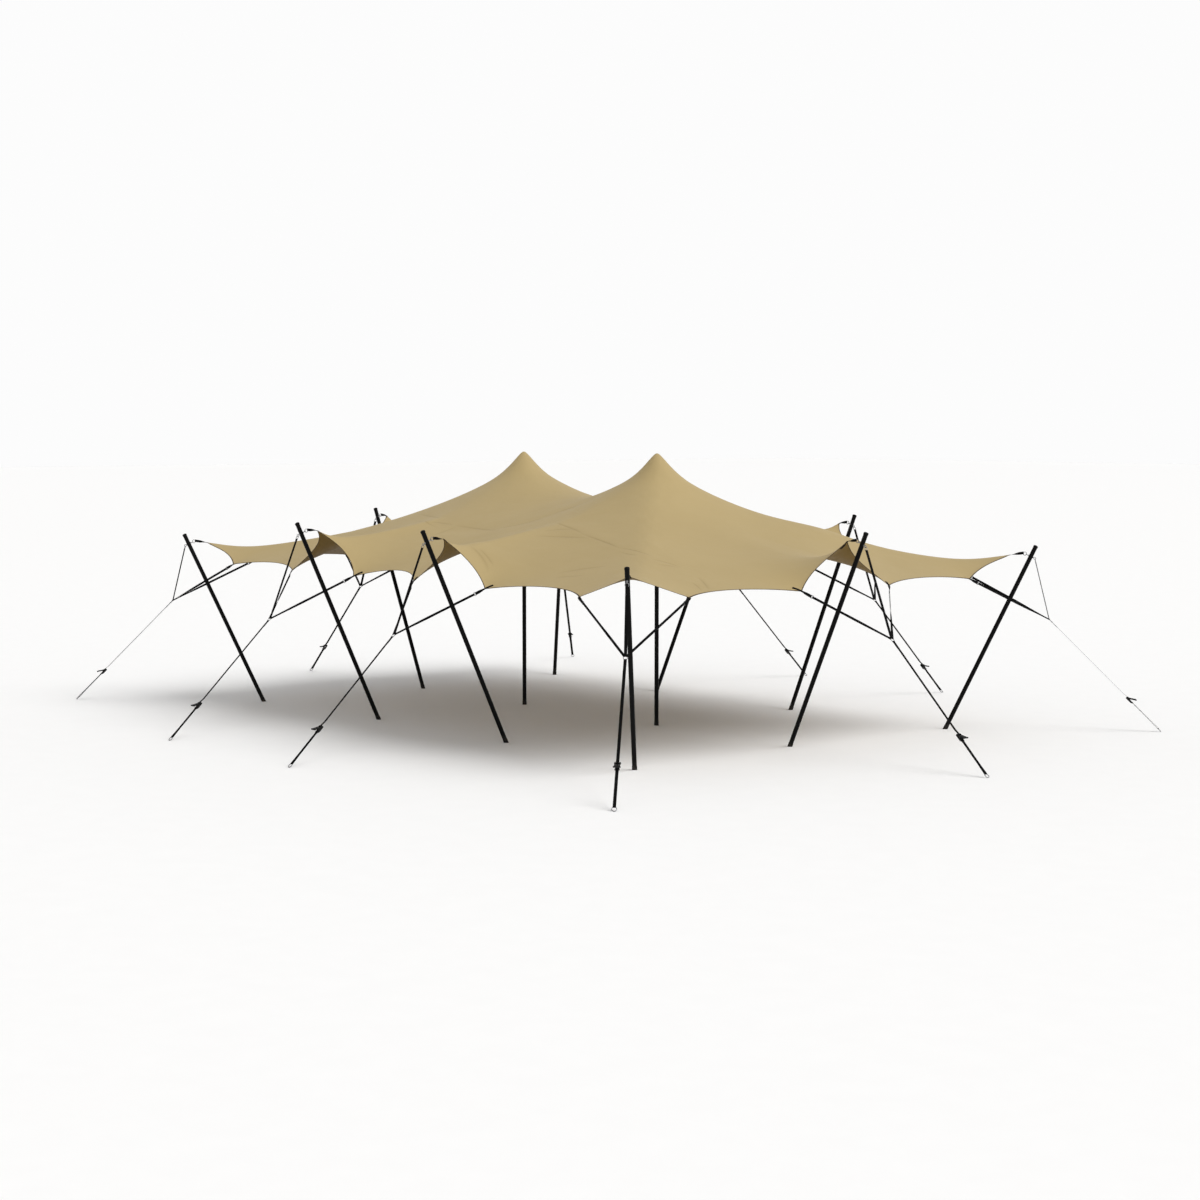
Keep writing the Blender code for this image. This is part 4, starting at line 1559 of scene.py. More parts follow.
    def build(self, material: bpy.types.Material) -> bpy.types.Object:
        """The cloth as a thin closed solid with a thicker hem.

        Args:
            material: The cloth's finish.

        Returns:
            The piece.
        """
        columns, points, normals = self._hemmed(self.columns, self.points, self.normals)
        turned_over = (np.swapaxes(grid, 0, 1) for grid in (points, normals))
        rows, points, normals = self._hemmed(self.rows, *turned_over)
        points, normals = np.swapaxes(points, 0, 1), np.swapaxes(normals, 0, 1)
        inset = np.minimum(self.half_length - abs(columns)[:, None], self.half_width - abs(rows)[None, :])
        half = np.where(inset < self.hem - TINY, self.hem_thickness, self.thickness)[..., None] / 2
        flats = np.zeros_like(points)
        flats[..., 0], flats[..., 1] = columns[:, None], rows
        across, down = len(columns), len(rows)
        number = np.arange(across * down).reshape(across, down)
        corners = [number[:-1, :-1], number[1:, :-1], number[1:, 1:], number[:-1, 1:]]
        top = np.stack(corners, -1).reshape(-1, 4)
        under = top[:, [0, 3, 2, 1]] + across * down
        rim = np.concatenate((number[:, 0], number[-1, 1:], number[-2::-1, -1], number[0, -2:0:-1]))
        after = np.roll(rim, -1)
        band = np.stack([rim, rim + across * down, after + across * down, after], 1)
        both = np.stack((points + normals * half, points - normals * half))
        shape = Shape().add(both, np.concatenate((top, under, band)).tolist(), np.stack((flats, flats)))
        piece = shape.piece("canopy_cloth", material, self.sharp_from)
        mid_x, mid_y = (abs(places[1:] + places[:-1]) / 2 for places in (columns, rows))
        # Painted shadow: faces within this band of the edge, and the whole rim, take the edge colour.
        outside = (mid_x > self.half_length - self.edge_band)[:, None]
        outside = outside | (mid_y > self.half_width - self.edge_band)
        # The under faces and the rim are marked for the inside colour, which is painted shade.
        self._mark(piece, UNDERSIDE_SHADE, np.arange(len(shape.faces)) >= len(top))
        self._mark(piece, EDGE_SHADOW, np.concatenate((outside.ravel(), outside.ravel(), np.ones(len(band), bool))))
        return piece

    @staticmethod
    def _mark(piece: bpy.types.Object, name: str, marked: np.ndarray) -> None:
        """Gives each face a number for the finish to read: 1 where it is marked."""
        faces = piece.data.attributes.new(name, "FLOAT", "FACE")
        faces.data.foreach_set("value", marked.astype(np.float32))

    def _hemmed(self, places: np.ndarray, *grids: np.ndarray) -> tuple[np.ndarray, ...]:
        """Adds three lines inside each edge: two where the hem steps down, and one where the painted edge
        shadow starts.

        Args:
            places: The grid lines.
            grids: Points or normals, with these lines first.

        Returns:
            The new grid lines and the new grids.
        """
        reach = places[-1]
        extra = [reach - self.hem, reach - self.hem * self.hem_step, reach - self.edge_band]
        finer = np.sort(np.concatenate((places, extra, [-e for e in extra])))
        low = np.clip(np.searchsorted(places, finer, "right") - 1, 0, len(places) - 2)
        share = (finer - places[low]) / (places[low + 1] - places[low])
        share = share[:, None, None]
        return (finer, *(grid[low] * (1 - share) + grid[low + 1] * share for grid in grids))

    def hem_seams(self) -> list[np.ndarray]:
        """Works out the paths of the hem's stitches, on the cloth's upper face.

        Returns:
            The paths.
        """
        inset = self.hem * self.seam_inset
        length, width = self.half_length - inset, self.half_width - inset
        seams = []
        for side in (-1, 1):
            along = np.linspace(-length, length, self.seam_points[0])
            seams.append(self._seam([(x, side * width) for x in along]))
            over = np.linspace(-width, width, self.seam_points[1])
            seams.append(self._seam([(side * length, y) for y in over]))
        return seams

    def _seam(self, flats: list[Pair]) -> np.ndarray:
        """Points just over the hem at places of the flat canopy."""
        found = [self.spot(flat) for flat in flats]
        return np.array([point + normal * (self.hem_thickness / 2) for point, normal in found])

    def dress(self) -> bpy.types.Object:
        """Makes the cloth and puts it on the tent."""
        return dressed(self.build(ClothFinish(CREASES).material()), ROOT_BODY, Slot.CLOTH, "canopy")

    def dress_hem(self, cloth: bpy.types.Object, stitches: StitchTree, seams: list[np.ndarray]) -> None:
        """Sews the hem and the tabs' stitches that show on the cloth.

        Args:
            cloth: Not used.
            stitches: The stitches' tree.
            seams: Paths of the tabs' stitches.
        """
        hem = stitches.sew("hem_stitching", self.hem_seams() + seams, TAN_THREAD.material(), HEM_STITCH)
        dressed(hem, ROOT_BODY, Slot.CLOTH)


# Poles


@dataclass
class Poles:
    """Centre poles with domed heads, and leaning side poles with level feet."""

    radius: float = 0.030
    chamfer: float = 0.001
    tip_radius: float = 0.002
    foot_radius: float = 0.0325
    foot_length: float = 0.055
    foot_below: float = 0.030
    foot_shoulder: Pair = (0.003, 0.002)
    grooves: tuple[float, ...] = (0.016, 0.027, 0.038)
    groove_half: Pair = (0.002, 0.001)
    groove_depth: float = 0.0012
    cap_radius: float = 0.0325
    cap_length: float = 0.035
    cap_dome: float = 0.014
    head_radius: float = 0.050
    head_slope: float = 0.65
    head_gap: float = 0.0035
    head_rim: tuple = ((0.014, 0.003), (0.009, 0.0005), (0.003, 0.0))
    dome_steps: int = 9
    dome_power: float = 1.2
    sleeve_length: float = 0.060
    sleeve_straight: float = 0.048
    sleeve_wall: float = 0.003
    sides: int = 56

    def _foot(self, below: float) -> list[Pair]:
        """Profile of the rubber foot.

        Args:
            below: How far under the ground it starts.

        Returns:
            (height, radius) pairs up to the tube.
        """
        foot, length, floor = self.foot_radius, self.foot_length, self.foot_radius - self.groove_depth
        profile = [(-below, foot * 0.9), (-below, foot - self.chamfer), (-below + self.chamfer, foot)]
        wide, narrow = self.groove_half
        for middle in self.grooves:
            profile += [(middle - wide, foot), (middle - narrow, floor)]
            profile += [(middle + narrow, floor), (middle + wide, foot)]
        down, inwards = self.foot_shoulder
        return profile + [(length - down, foot), (length, foot - inwards), (length, self.radius)]

    def centre(self, canopy: Canopy, x: float) -> Shape:
        """An upright pole under a peak.

        Args:
            canopy: The cloth that it carries.
            x: Its place.

        Returns:
            The shape.
        """
        top = canopy.peak_height - canopy.thickness / 2 - self.head_gap
        edge = top - self.head_radius * self.head_slope
        sleeve = self.radius + self.sleeve_wall
        profile = self._foot(0.0)
        profile += [(edge - self.sleeve_length, self.radius), (edge - self.sleeve_length, sleeve)]
        profile += [(edge - self.sleeve_straight, sleeve)]
        profile += [(edge - down, self.head_radius - inwards) for down, inwards in self.head_rim]
        for k in range(1, self.dome_steps):
            share = k / self.dome_steps
            height = edge + (top - edge) * math.sin(share * math.pi / 2) ** self.dome_power
            profile.append((height, self.head_radius * (1 - share)))
        profile.append((top, self.tip_radius))
        return Shape().take(turned(profile, self.sides), Matrix.Translation((x, 0.0, 0.0)))

    def leaning(self, station: Station) -> Shape:
        """A side pole, whose foot still reaches under the ground.

        Args:
            station: Where it stands.

        Returns:
            The shape.
        """
        axis = station.top - station.foot
        length, cap = axis.length, self.cap_radius
        start, dome = length - self.cap_length, length - self.cap_dome
        profile = self._foot(self.foot_below)
        profile += [(start, self.radius), (start, cap - self.chamfer)]
        profile += [(start + self.chamfer, cap), (dome, cap)]
        for k in range(1, self.dome_steps):
            turn = k / self.dome_steps * math.pi / 2
            profile.append((dome + self.cap_dome * math.sin(turn), cap * math.cos(turn)))
        profile.append((length, self.tip_radius))
        return Shape().take(turned(profile, self.sides), along_axis(axis, station.foot))

    def cut_level(self, piece: bpy.types.Object, station: Station) -> None:
        """Cuts a leaning pole's foot off at the ground.

        Args:
            piece: The pole.
            station: Where it stands.
        """
        bm = bmesh.new()
        bm.from_mesh(piece.data)
        parts = bm.verts[:] + bm.edges[:] + bm.faces[:]
        cut = bmesh.ops.bisect_plane(bm, geom=parts, plane_co=station.foot, plane_no=UP, clear_inner=True)
        rim = [part for part in cut["geom_cut"] if isinstance(part, bmesh.types.BMEdge)]
        bmesh.ops.holes_fill(bm, edges=rim)
        bmesh.ops.recalc_face_normals(bm, faces=bm.faces)
        bm.to_mesh(piece.data)
        bm.free()

    def dress(self, canopy: Canopy, places: list[Station]) -> None:
        """Makes all the poles and puts them on the tent.

        Args:
            canopy: The cloth that the centre poles carry.
            places: The side poles.
        """
        tube = TubeFinish().material()
        for word, x in (("left", -canopy.peak_x), ("right", canopy.peak_x)):
            pole = self.centre(canopy, x).piece("centre_tube_" + word, tube)
            dressed(pole, ROOT_BODY, Slot.TUBE, "centre_pole_" + word)
        for station in places:
            pole = self.leaning(station).piece("tube_" + station.name, tube)
            self.cut_level(pole, station)
            dressed(pole, ROOT_BODY, Slot.TUBE, "pole_" + station.name)


# Ratchets


@dataclass
class Ratchet:
    """The ratchet in its own frame, from its spindle: X down the guy, Y above it, Z along the spindle."""

    inside: float = 0.0215
    plate_thickness: float = 0.003
    plate_chamfer: float = 0.0006
    lock_chamfer: float = 0.0005
    thin_chamfer: float = 0.0004
    fine_chamfer: float = 0.0003
    floor_corner: float = 0.001
    lock_corner: float = 0.002
    clear: float = 0.0006
    overlap: float = 0.0005
    back: float = 0.018
    front: float = 0.098
    top: float = 0.015
    bottom: float = 0.020
    floor: Pair = (0.022, 0.071)
    lock: Pair = (-0.020, 0.018)
    lock_at: Pair = (0.050, -0.0035)
    lock_thickness: float = 0.0028
    bolt_at: float = 0.085
    bolt_radius: float = 0.0055
    bolt_end: Pair = (0.001, 0.0052)
    bolt_head: Pair = (0.0125, 0.0045)
    bolt_head_out: float = 0.0024
    wheel_radius: float = 0.0185
    tooth_depth: float = 0.0042
    wheel_thickness: float = 0.0032
    wheel_out: float = 0.0056
    teeth: int = 11
    pin_radius: float = 0.0055
    pin_end: float = 0.0345
    pin_turn: float = 0.9
    slot_half: float = 0.12
    cap_radius: float = 0.010
    cap_length: float = 0.004
    cap_inner: tuple = ((0.0, 0.001), (0.001, 0.0))
    cap_outer: tuple = ((0.0012, 0.0), (0.0, 0.0014))
    cap_hole: tuple = ((0.0, 0.004), (0.001, 0.0035), (0.001, 0.001))
    handle_inside: float = 0.030
    handle_length: float = 0.112
    hub_radius: float = 0.016
    arm_width: float = 0.016
    arm_from: float = 0.030
    web: Pair = (0.072, 0.104)
    web_thickness: float = 0.0022
    web_drop: float = 0.0014
    grip_radius: float = 0.0095
    grip_half: float = 0.0435
    grip_edge: Pair = (0.0083, 0.0015)
    grip_bore: float = 0.005
    grip_grooves: int = 12
    grooves_half: float = 0.030
    groove_half: Pair = (0.0018, 0.0009)
    groove_depth: float = 0.0009
    pawl_plate: Pair = (0.034, 0.058)
    pawl_height: float = 0.0062
    pawl_thickness: float = 0.0026
    pull: Pair = (0.046, 0.066)
    pull_half: Pair = (0.014, 0.010)
    pull_corners: Pair = (0.003, 0.004)
    pull_height: float = 0.0085
    pull_thickness: float = 0.002
    pull_tilt: float = math.radians(-10)
    spring_from: tuple[float, float, float] = (0.057, 0.0045, 0.022)
    spring_length: float = 0.016
    spring_radius: float = 0.0022
    spring_wire: float = 0.0005
    spring_turns: int = 7
    open_angle: float = math.radians(33.0)

    @staticmethod
    def place(station: Station) -> Matrix:
        """Where the ratchet's own frame lies on a guy."""
        return turned_to(station.line, station.line.cross(station.above), station.spindle)

    def handle_place(self, station: Station) -> Matrix:
        """Where the handle's own frame lies, turned open about the spindle."""
        return self.place(station) @ Matrix.Rotation(self.open_angle, 4, "Z")

    @staticmethod
    def _at(x: float, y: float, z: float) -> Matrix:
        """A shift in the ratchet's own frame."""
        return Matrix.Translation((x, y, z))

    def _lying(
        self, outline: np.ndarray, thickness: float, chamfer: float, height: float, along: float = 0.0
    ) -> Shape:
        """A plate across the ratchet.

        Args:
            outline: Its outline in (X, Z).
            thickness: Face to face.
            chamfer: Size of the chamfer on its edges.
            height: Where its middle is in Y.
            along: How far it is moved in X.

        Returns:
            The shape.
        """
        place = self._at(along, height, 0) @ Matrix.Rotation(math.pi / 2, 4, "X")
        return Shape().take(plate(outline, thickness, chamfer), place)

    def _sides(self, outline: np.ndarray, inside: float) -> Shape:
        """Two upright plates with the same outline.

        Args:
            outline: Their outline in (X, Y).
            inside: From the middle to the inner face of each.

        Returns:
            The shape.
        """
        side = plate(outline, self.plate_thickness, self.plate_chamfer)
        offset = inside + self.plate_thickness / 2
        return Shape().take(side, self._at(0, 0, offset)).take(side, self._at(0, 0, -offset))

    def body(self) -> Shape:
        """Makes the side plates, the floor, the sliding lock plate and the cross bolt.

        Returns:
            The shape.
        """
        back, front, top, bottom = self.back, self.front, self.top, self.bottom
        outline = rounded(
            [
                (-back, -bottom * 0.55, 0.006),
                (-back * 0.4, -bottom, 0.006),
                (front * 0.72, -bottom, 0.010),
                (front, -bottom * 0.35, 0.008),
                (front, top * 0.5, 0.006),
                (front * 0.6, top * 0.4, 0.012),
                (back * 0.7, top, 0.008),
                (-back * 0.7, top, 0.008),
            ]
        )
        made = self._sides(outline, self.inside)
        thick = self.plate_thickness
        floor = oblong(*self.floor, self.inside + self.overlap, self.floor_corner)
        made.take(self._lying(floor, thick, self.thin_chamfer, -bottom + thick / 2))
        lock = oblong(*self.lock, self.inside - self.clear, self.lock_corner, 3)
        along, height = self.lock_at
        made.take(self._lying(lock, self.lock_thickness, self.lock_chamfer, height, along))
        reach, radius = self.inside + thick, self.bolt_radius
        end, end_radius = reach + self.bolt_end[0], self.bolt_end[1]
        bolt = turned([(-end, end_radius), (-reach, radius), (reach, radius), (end, end_radius)], 24)
        made.take(bolt, self._at(self.bolt_at, 0, 0))
        size, height = self.bolt_head
        for side in (-1, 1):
            head = plate(hexagon(size), height, self.plate_chamfer)
            made.take(head, self._at(self.bolt_at, 0, side * (reach + self.bolt_head_out)))
        return made

    def spindle(self) -> Shape:
        """Makes the spindle of two half bars, its caps, and the toothed wheels beside the side plates.

        Returns:
            The shape.
        """
        reach, radius, cap, end = self.inside, self.pin_radius, self.cap_radius, self.pin_end
        angles = np.linspace(self.slot_half, math.pi - self.slot_half, 12)
        half = np.stack([radius * np.cos(angles), radius * np.sin(angles)], 1)
        made = Shape()
        for turn in (0.0, math.pi):
            bar = plate(half, 2 * reach, self.fine_chamfer)
            made.take(bar, Matrix.Rotation(turn + self.pin_turn, 4, "Z"))
        outer = end + self.cap_length
        profile = [(reach, radius - self.fine_chamfer), (end, radius)]
        profile += [(end + out, cap - inwards) for out, inwards in self.cap_inner]
        profile += [(outer - back, cap - inwards) for back, inwards in self.cap_outer]
        profile += [(outer - back, hole) for back, hole in self.cap_hole]
        for side in (0.0, math.pi):
            flip = Matrix.Rotation(side, 4, "X")
            made.take(turned(profile, 32), flip)
            wheel = plate(self._wheel(), self.wheel_thickness, self.fine_chamfer)
            made.take(wheel, flip @ self._at(0, 0, self.inside + self.wheel_out))
        return made

    def _wheel(self) -> np.ndarray:
        """Works out the outline of a wheel with sloping teeth.

        Returns:
            The outline.
        """
        points, rim = [], self.wheel_radius
        root = rim - self.tooth_depth
        for k in range(self.teeth):
            for share, radius in ((0.0, root), (0.15, rim), (0.30, rim), (0.85, root)):
                angle = TURN * (k + share) / self.teeth
                points.append((radius * math.cos(angle), radius * math.sin(angle)))
        return np.array(points)

    def handle(self) -> Shape:
        """Makes the two arms and the web between them, in the handle's own frame.

        Returns:
            The shape.
        """
        hub, wide, far, near = self.hub_radius, self.arm_width / 2, self.handle_length, self.arm_from
        start = math.asin(wide * 1.1 / hub)
        arc = np.linspace(start, TURN - start, 26)
        outline = [(hub * math.cos(t), hub * math.sin(t)) for t in arc]
        outline += [(near, -wide), (far, -wide), (far + wide * 0.8, -wide * 0.5)]
        outline += [(far + wide * 0.8, wide * 0.5), (far, wide), (near, wide)]
        web = oblong(*self.web, self.handle_inside + self.thin_chamfer, self.floor_corner)
        lying = self._lying(web, self.web_thickness, self.thin_chamfer, wide - self.web_drop)
        return self._sides(np.array(outline), self.handle_inside).take(lying)

    def grip(self) -> Shape:
        """Makes the ribbed rubber grip on the handle's end bar.

        Returns:
            The shape.
        """
        radius, half, floor = self.grip_radius, self.grip_half, self.grip_radius - self.groove_depth
        edge, shoulder = self.grip_edge
        wide, narrow = self.groove_half
        profile = [(-half, self.grip_bore), (-half, edge), (-half + shoulder, radius)]
        for k in range(self.grip_grooves):
            middle = -self.grooves_half + 2 * self.grooves_half * k / (self.grip_grooves - 1)
            profile += [(middle - wide, radius), (middle - narrow, floor)]
            profile += [(middle + narrow, floor), (middle + wide, radius)]
        profile += [(half - shoulder, radius), (half, edge), (half, self.grip_bore)]
        return Shape().take(turned(profile, 28), self._at(self.handle_length, 0, 0))

    def pawl(self) -> Shape:
        """Makes the spring plate between the arms, with its finger pull and two springs.

        Returns:
            The shape.
        """
        plain = oblong(*self.pawl_plate, self.handle_inside - self.clear, self.lock_corner, 3)
        made = self._lying(plain, self.pawl_thickness, self.lock_chamfer, self.pawl_height)
        (near, far), (wide, narrow), (small, large) = self.pull, self.pull_half, self.pull_corners
        corners = [(near, -wide, small), (far, -narrow, large)]
        corners += [(far, narrow, large), (near, wide, small)]
        pull = rounded(corners, 4)
        level = Matrix.Rotation(math.pi / 2, 4, "X") @ Matrix.Rotation(self.pull_tilt, 4, "Y")
        tilted = self._at(0, self.pull_height, 0) @ level
        made.take(plate(pull, self.pull_thickness, self.thin_chamfer), tilted)
        turns = np.linspace(0.0, self.spring_turns * TURN, 12 * self.spring_turns)
        start, height, apart = self.spring_from
        along = start + self.spring_length * turns / turns[-1]
        up, over = self.spring_radius * np.cos(turns), self.spring_radius * np.sin(turns)
        for side in (-1, 1):
            coil = np.stack([along, height + up, side * apart + over], 1)
            made.take(wire(coil, self.spring_wire, 6))
        return made

    def dress(self, places: list[Station]) -> None:
        """Makes every ratchet from the same shapes, and puts it on the tent and on its handle's body.

        Args:
            places: The side poles, each with a ratchet on its guy.
        """
        black, rubber = BLACK_STEEL.material(), RUBBER.material()
        fixed = (("ratchet_body_", self.body()), ("ratchet_spindle_", self.spindle()))
        moving = (
            ("handle_arms_", self.handle(), black),
            ("handle_grip_", self.grip(), rubber),
            ("handle_pawl_", self.pawl(), black),
        )
        for station in places:
            name, place, turned_place = station.name, self.place(station), self.handle_place(station)
            for kind, shape in fixed:
                piece = Shape().take(shape, place).piece(kind + name, black)
                dressed(piece, ROOT_BODY, Slot.STEEL, "ratchet_" + name)
            for kind, shape, finish in moving:
                piece = Shape().take(shape, turned_place).piece(kind + name, finish)
                dressed(piece, "handle_" + name, Slot.STEEL, "ratchet_handle_" + name)


# Guys


@dataclass(frozen=True)
class Bar:
    """A round bar that webbing goes round."""

    middle: Vector
    along: Vector
    radius: float


@dataclass(frozen=True)
class Hold:
    """A place on the flat canopy's edge, the way into the cloth, and the face, 1 upper or -1 under."""

    flat: Pair
    inward: Pair
    upper: int


@dataclass(frozen=True)
class SideStrap:
    """Places of one strap from the junction ring up to a low point of the canopy."""

    start: Vector
    way: Vector
    tangent: Vector
    buckle: Vector
    flat: Pair
    turn_from: float = 0.085
    turn_over: float = 0.70

    @property
    def across(self) -> Vector:
        """Upright direction of the strap's width, square to its way."""
        return (UP - self.way * UP.dot(self.way)).normalized()

    def side(self, reach: float) -> Vector:
        """Direction of the width at a distance from the ring, where it lies along the ring's wire.

        Args:
            reach: The distance.

        Returns:
            The direction.
        """
        ease = eased(min(max((reach - self.turn_from) / self.turn_over, 0.0), 1.0))
        across = self.across
        at_ring = (self.tangent - self.way * self.tangent.dot(self.way)).normalized()
        if at_ring.dot(across) < 0:
            at_ring.negate()
        return (at_ring * (1 - ease) + across * ease).normalized()


@dataclass
class Rigging:
    """The head fittings, rings, buckles and webbing of one side pole.

    A box is a box stitch's length and its share of the webbing's width. A strap's, sling's, main's or
    loop's sewn is how far it is from an end; the tab's are shares of the sewn length and of the width.
    """

    eye_drop: float = 0.17
    eye_out: float = 0.060
    eye_radius: float = 0.015
    bolt_radius: float = 0.006
    nut: tuple[float, float, float] = (0.019, 0.007, 0.0008)
    nut_out: float = 0.0352
    washer: tuple = ((0.0, 0.012), (0.0002, 0.0125), (0.0014, 0.0125), (0.0016, 0.012))
    washer_out: float = 0.0302
    wire_radius: float = 0.004
    wire_gap: float = 0.0003
    link_radius: float = 0.024
    junction_radius: float = 0.025
    ground_radius: float = 0.028
    ground_wire: float = 0.005
    clear: float = 0.0002
    width: float = 0.038
    narrow: float = 0.030
    thickness: float = 0.0024
    strap_thickness: float = 0.0030
    strap_gap: float = 0.0080
    strap_back: Pair = (0.075, 0.077)
    strap_box: Pair = (0.036, 0.68)
    strap_sewn: Pair = (0.050, 0.070)
    ring_clear: float = 0.020
    bar_clear: float = 0.012
    tab_length: float = 0.13
    tab_start: float = 0.004
    tab_probe: float = 0.05
    tab_layer: float = 1.04
    tab_parting: float = 0.6
    tab_run: Pair = (0.02, 0.006)
    tab_return: Pair = (0.012, 0.03)
    tab_sewn_shares: Pair = (0.65, 0.72)
    in_line: float = 0.8
    sewn_on: float = 0.075
    buckle_length: float = 0.022
    buckle_width: float = 0.046
    buckle_corner: float = 0.005
    slide_radius: float = 0.0023
    slide_bar: float = 0.0021
    sling_gap: float = 0.0062
    sling_box: Pair = (0.045, 0.7)
    sling_sewn: float = 0.055
    main_layer: float = 0.52
    main_back: float = 0.115
    main_box: Pair = (0.055, 0.72)
    main_sewn: float = 0.075
    roll_from: float = 0.090
    roll_radius: float = 0.0118
    roll_gap: float = 0.0001
    roll_turns: float = 2.6
    loop_thickness: float = 0.0032
    loop_gap: float = 0.0062
    loop_taper: float = 0.09
    loop_box: Pair = (0.050, 0.72)
    loop_sewn: Pair = (0.070, 0.170)
    stitch_rise: float = STRAP_STITCH.radius * 0.3
    cloth_seams: list[np.ndarray] = field(default_factory=list)

    def frame_of(self, station: Station) -> tuple[Vector, Vector, Vector]:
        """Works out how the head's fittings lie.

        Args:
            station: The side pole.

        Returns:
            The pole's axis, the direction square to it, and where the eye bolt passes through it.
        """
        axis = (station.top - station.foot).normalized()
        square = axis.cross(station.across).normalized()
        if square.dot(station.out) < 0:
            square.negate()
        return axis, square, station.top - axis * self.eye_drop

    def links(self, station: Station) -> tuple[Vector, Vector, Vector]:
        """Works out where the two links hang.

        Args:
            station: The side pole.

        Returns:
            Centres of the inner link and of the outer link, and the direction of the strap below it.
        """
        _, square, eye_at = self.frame_of(station)
        inner, outer = eye_at - square * self.eye_out, eye_at + square * self.eye_out
        down = (station.junction - outer).normalized()
        apart = self.eye_radius + self.link_radius - (2 * self.wire_radius + self.wire_gap)
        return inner - square * apart, outer + down * apart, down

    def fittings(self, station: Station, canopy: Canopy) -> Shape:
        """Makes everything of bright steel: eye bolt, nuts, links, rings and buckles.

        Args:
            station: The side pole.
            canopy: The cloth that it holds.

        Returns:
            The shape.
        """
        axis, square, eye_at = self.frame_of(station)
        inner_link, outer_link, down = self.links(station)
        line, above, across = station.line, station.above, station.across
        shank = square * (self.eye_out - self.eye_radius)
        made = wire(np.array([eye_at - shank, eye_at + shank]), self.bolt_radius, 16)
        flats, height, chamfer = self.nut
        nut, washer = plate(hexagon(flats), height, chamfer), turned(list(self.washer), 32)
        for side in (-1, 1):
            made.take(nut, along_axis(square, eye_at + square * (side * self.nut_out)))
            made.take(washer, along_axis(square * side, eye_at + square * (side * self.washer_out)))
            eye = turned_to(square, across if side > 0 else axis, eye_at + square * (side * self.eye_out))
            made.take(ring(self.eye_radius, self.wire_radius), eye)
        link = ring(self.link_radius, self.wire_radius)
        made.take(link, turned_to(square, across, inner_link))
        made.take(link, turned_to(down, down.cross(across), outer_link))
        junction = ring(self.junction_radius, self.wire_radius, 48)
        ground = ring(self.ground_radius, self.ground_wire, 56, 14)
        made.take(junction, turned_to(line, above, station.junction))
        made.take(ground, turned_to(line, above, station.ground_ring))
        for strap in self.side_straps(station, canopy):
            made.take(self._buckle(), turned_to(strap.way, strap.across.cross(strap.way), strap.buckle))
        return made

    def _buckle(self) -> Shape:
        """Makes a three-bar slide of bent wire, in its local XY plane.

        Returns:
            The shape.
        """
        long, wide = self.buckle_length / 2, self.buckle_width / 2
        outline = oblong(-long, long, wide, self.buckle_corner, 5)
        made = wire(np.column_stack([outline, np.zeros(len(outline))]), self.slide_radius, 10, True)
        return made.take(wire(np.array([(0.0, -wide, 0.0), (0.0, wide, 0.0)]), self.slide_bar, 10))

    def side_straps(self, station: Station, canopy: Canopy) -> list[SideStrap]:
        """Places the two straps from the junction ring to the canopy's low points.

        Args:
            station: The side pole.
            canopy: The cloth.

        Returns:
            Their places.
        """
        found = []
        for flat, low in canopy.holds(station)[1:]:
            level = low - station.junction
            in_ring = (level - station.above * level.dot(station.above)).normalized()
            start = station.junction + in_ring * self.junction_radius
            way = (low - start).normalized()
            buckle = low - way * (self.tab_length + self.buckle_length / 2)
            found.append(SideStrap(start, way, station.above.cross(in_ring), buckle, flat))
        return found

    def webbing(self, station: Station, canopy: Canopy) -> tuple[Shape, list[np.ndarray]]:
        """Makes all the guy's webbing above the ratchet.

        Args:
            station: The side pole.
            canopy: The cloth.

        Returns:
            The webbing and the paths of its stitches.
        """
        made, seams = Shape(), []
        self._tip_tab(made, seams, station, canopy)
        self._head_sling(made, seams, station)
        for strap in self.side_straps(station, canopy):
            self._side_strap(made, seams, strap)
            self._low_tab(made, seams, strap, canopy)
        self._main(made, seams, station)
        return made, seams

    def _round(self, bar_radius: float, thickness: float) -> float:
        """Radius of the middle of webbing that goes round a bar."""
        return bar_radius + thickness / 2 + self.clear

    def _onto_cloth(self, canopy: Canopy, hold: Hold) -> tuple[np.ndarray, float]:
        """Points on one face of the cloth, from the held place inwards.

        Args:
            canopy: The cloth.
            hold: Where and how the tab is sewn to it.

        Returns:
            The points, and how far the last is off the cloth, so that the tab's corners stay outside it.
        """
        lift = canopy.hem_thickness / 2 + self.thickness / 2
        flat, inward = np.array(hold.flat), np.array(hold.inward)
        end, beside = flat + inward * self.sewn_on, inward[::-1] * (-self.width / 2, self.width / 2)
        last, normal = canopy.spot(end)
        corners = [canopy.spot(end + beside * side)[0] for side in (-1, 1)]
        share = min(1.0, self.width / np.linalg.norm(corners[1] - corners[0]))
        clear = share * max(0.0, *(hold.upper * ((corner - last) @ normal) for corner in corners))
        points = []
        for reach in np.linspace(self.tab_start, self.sewn_on, 9):
            point, normal = canopy.spot(flat + inward * reach)
            points.append(point + normal * (hold.upper * (lift + clear * reach / self.sewn_on)))
        return np.array(points), clear

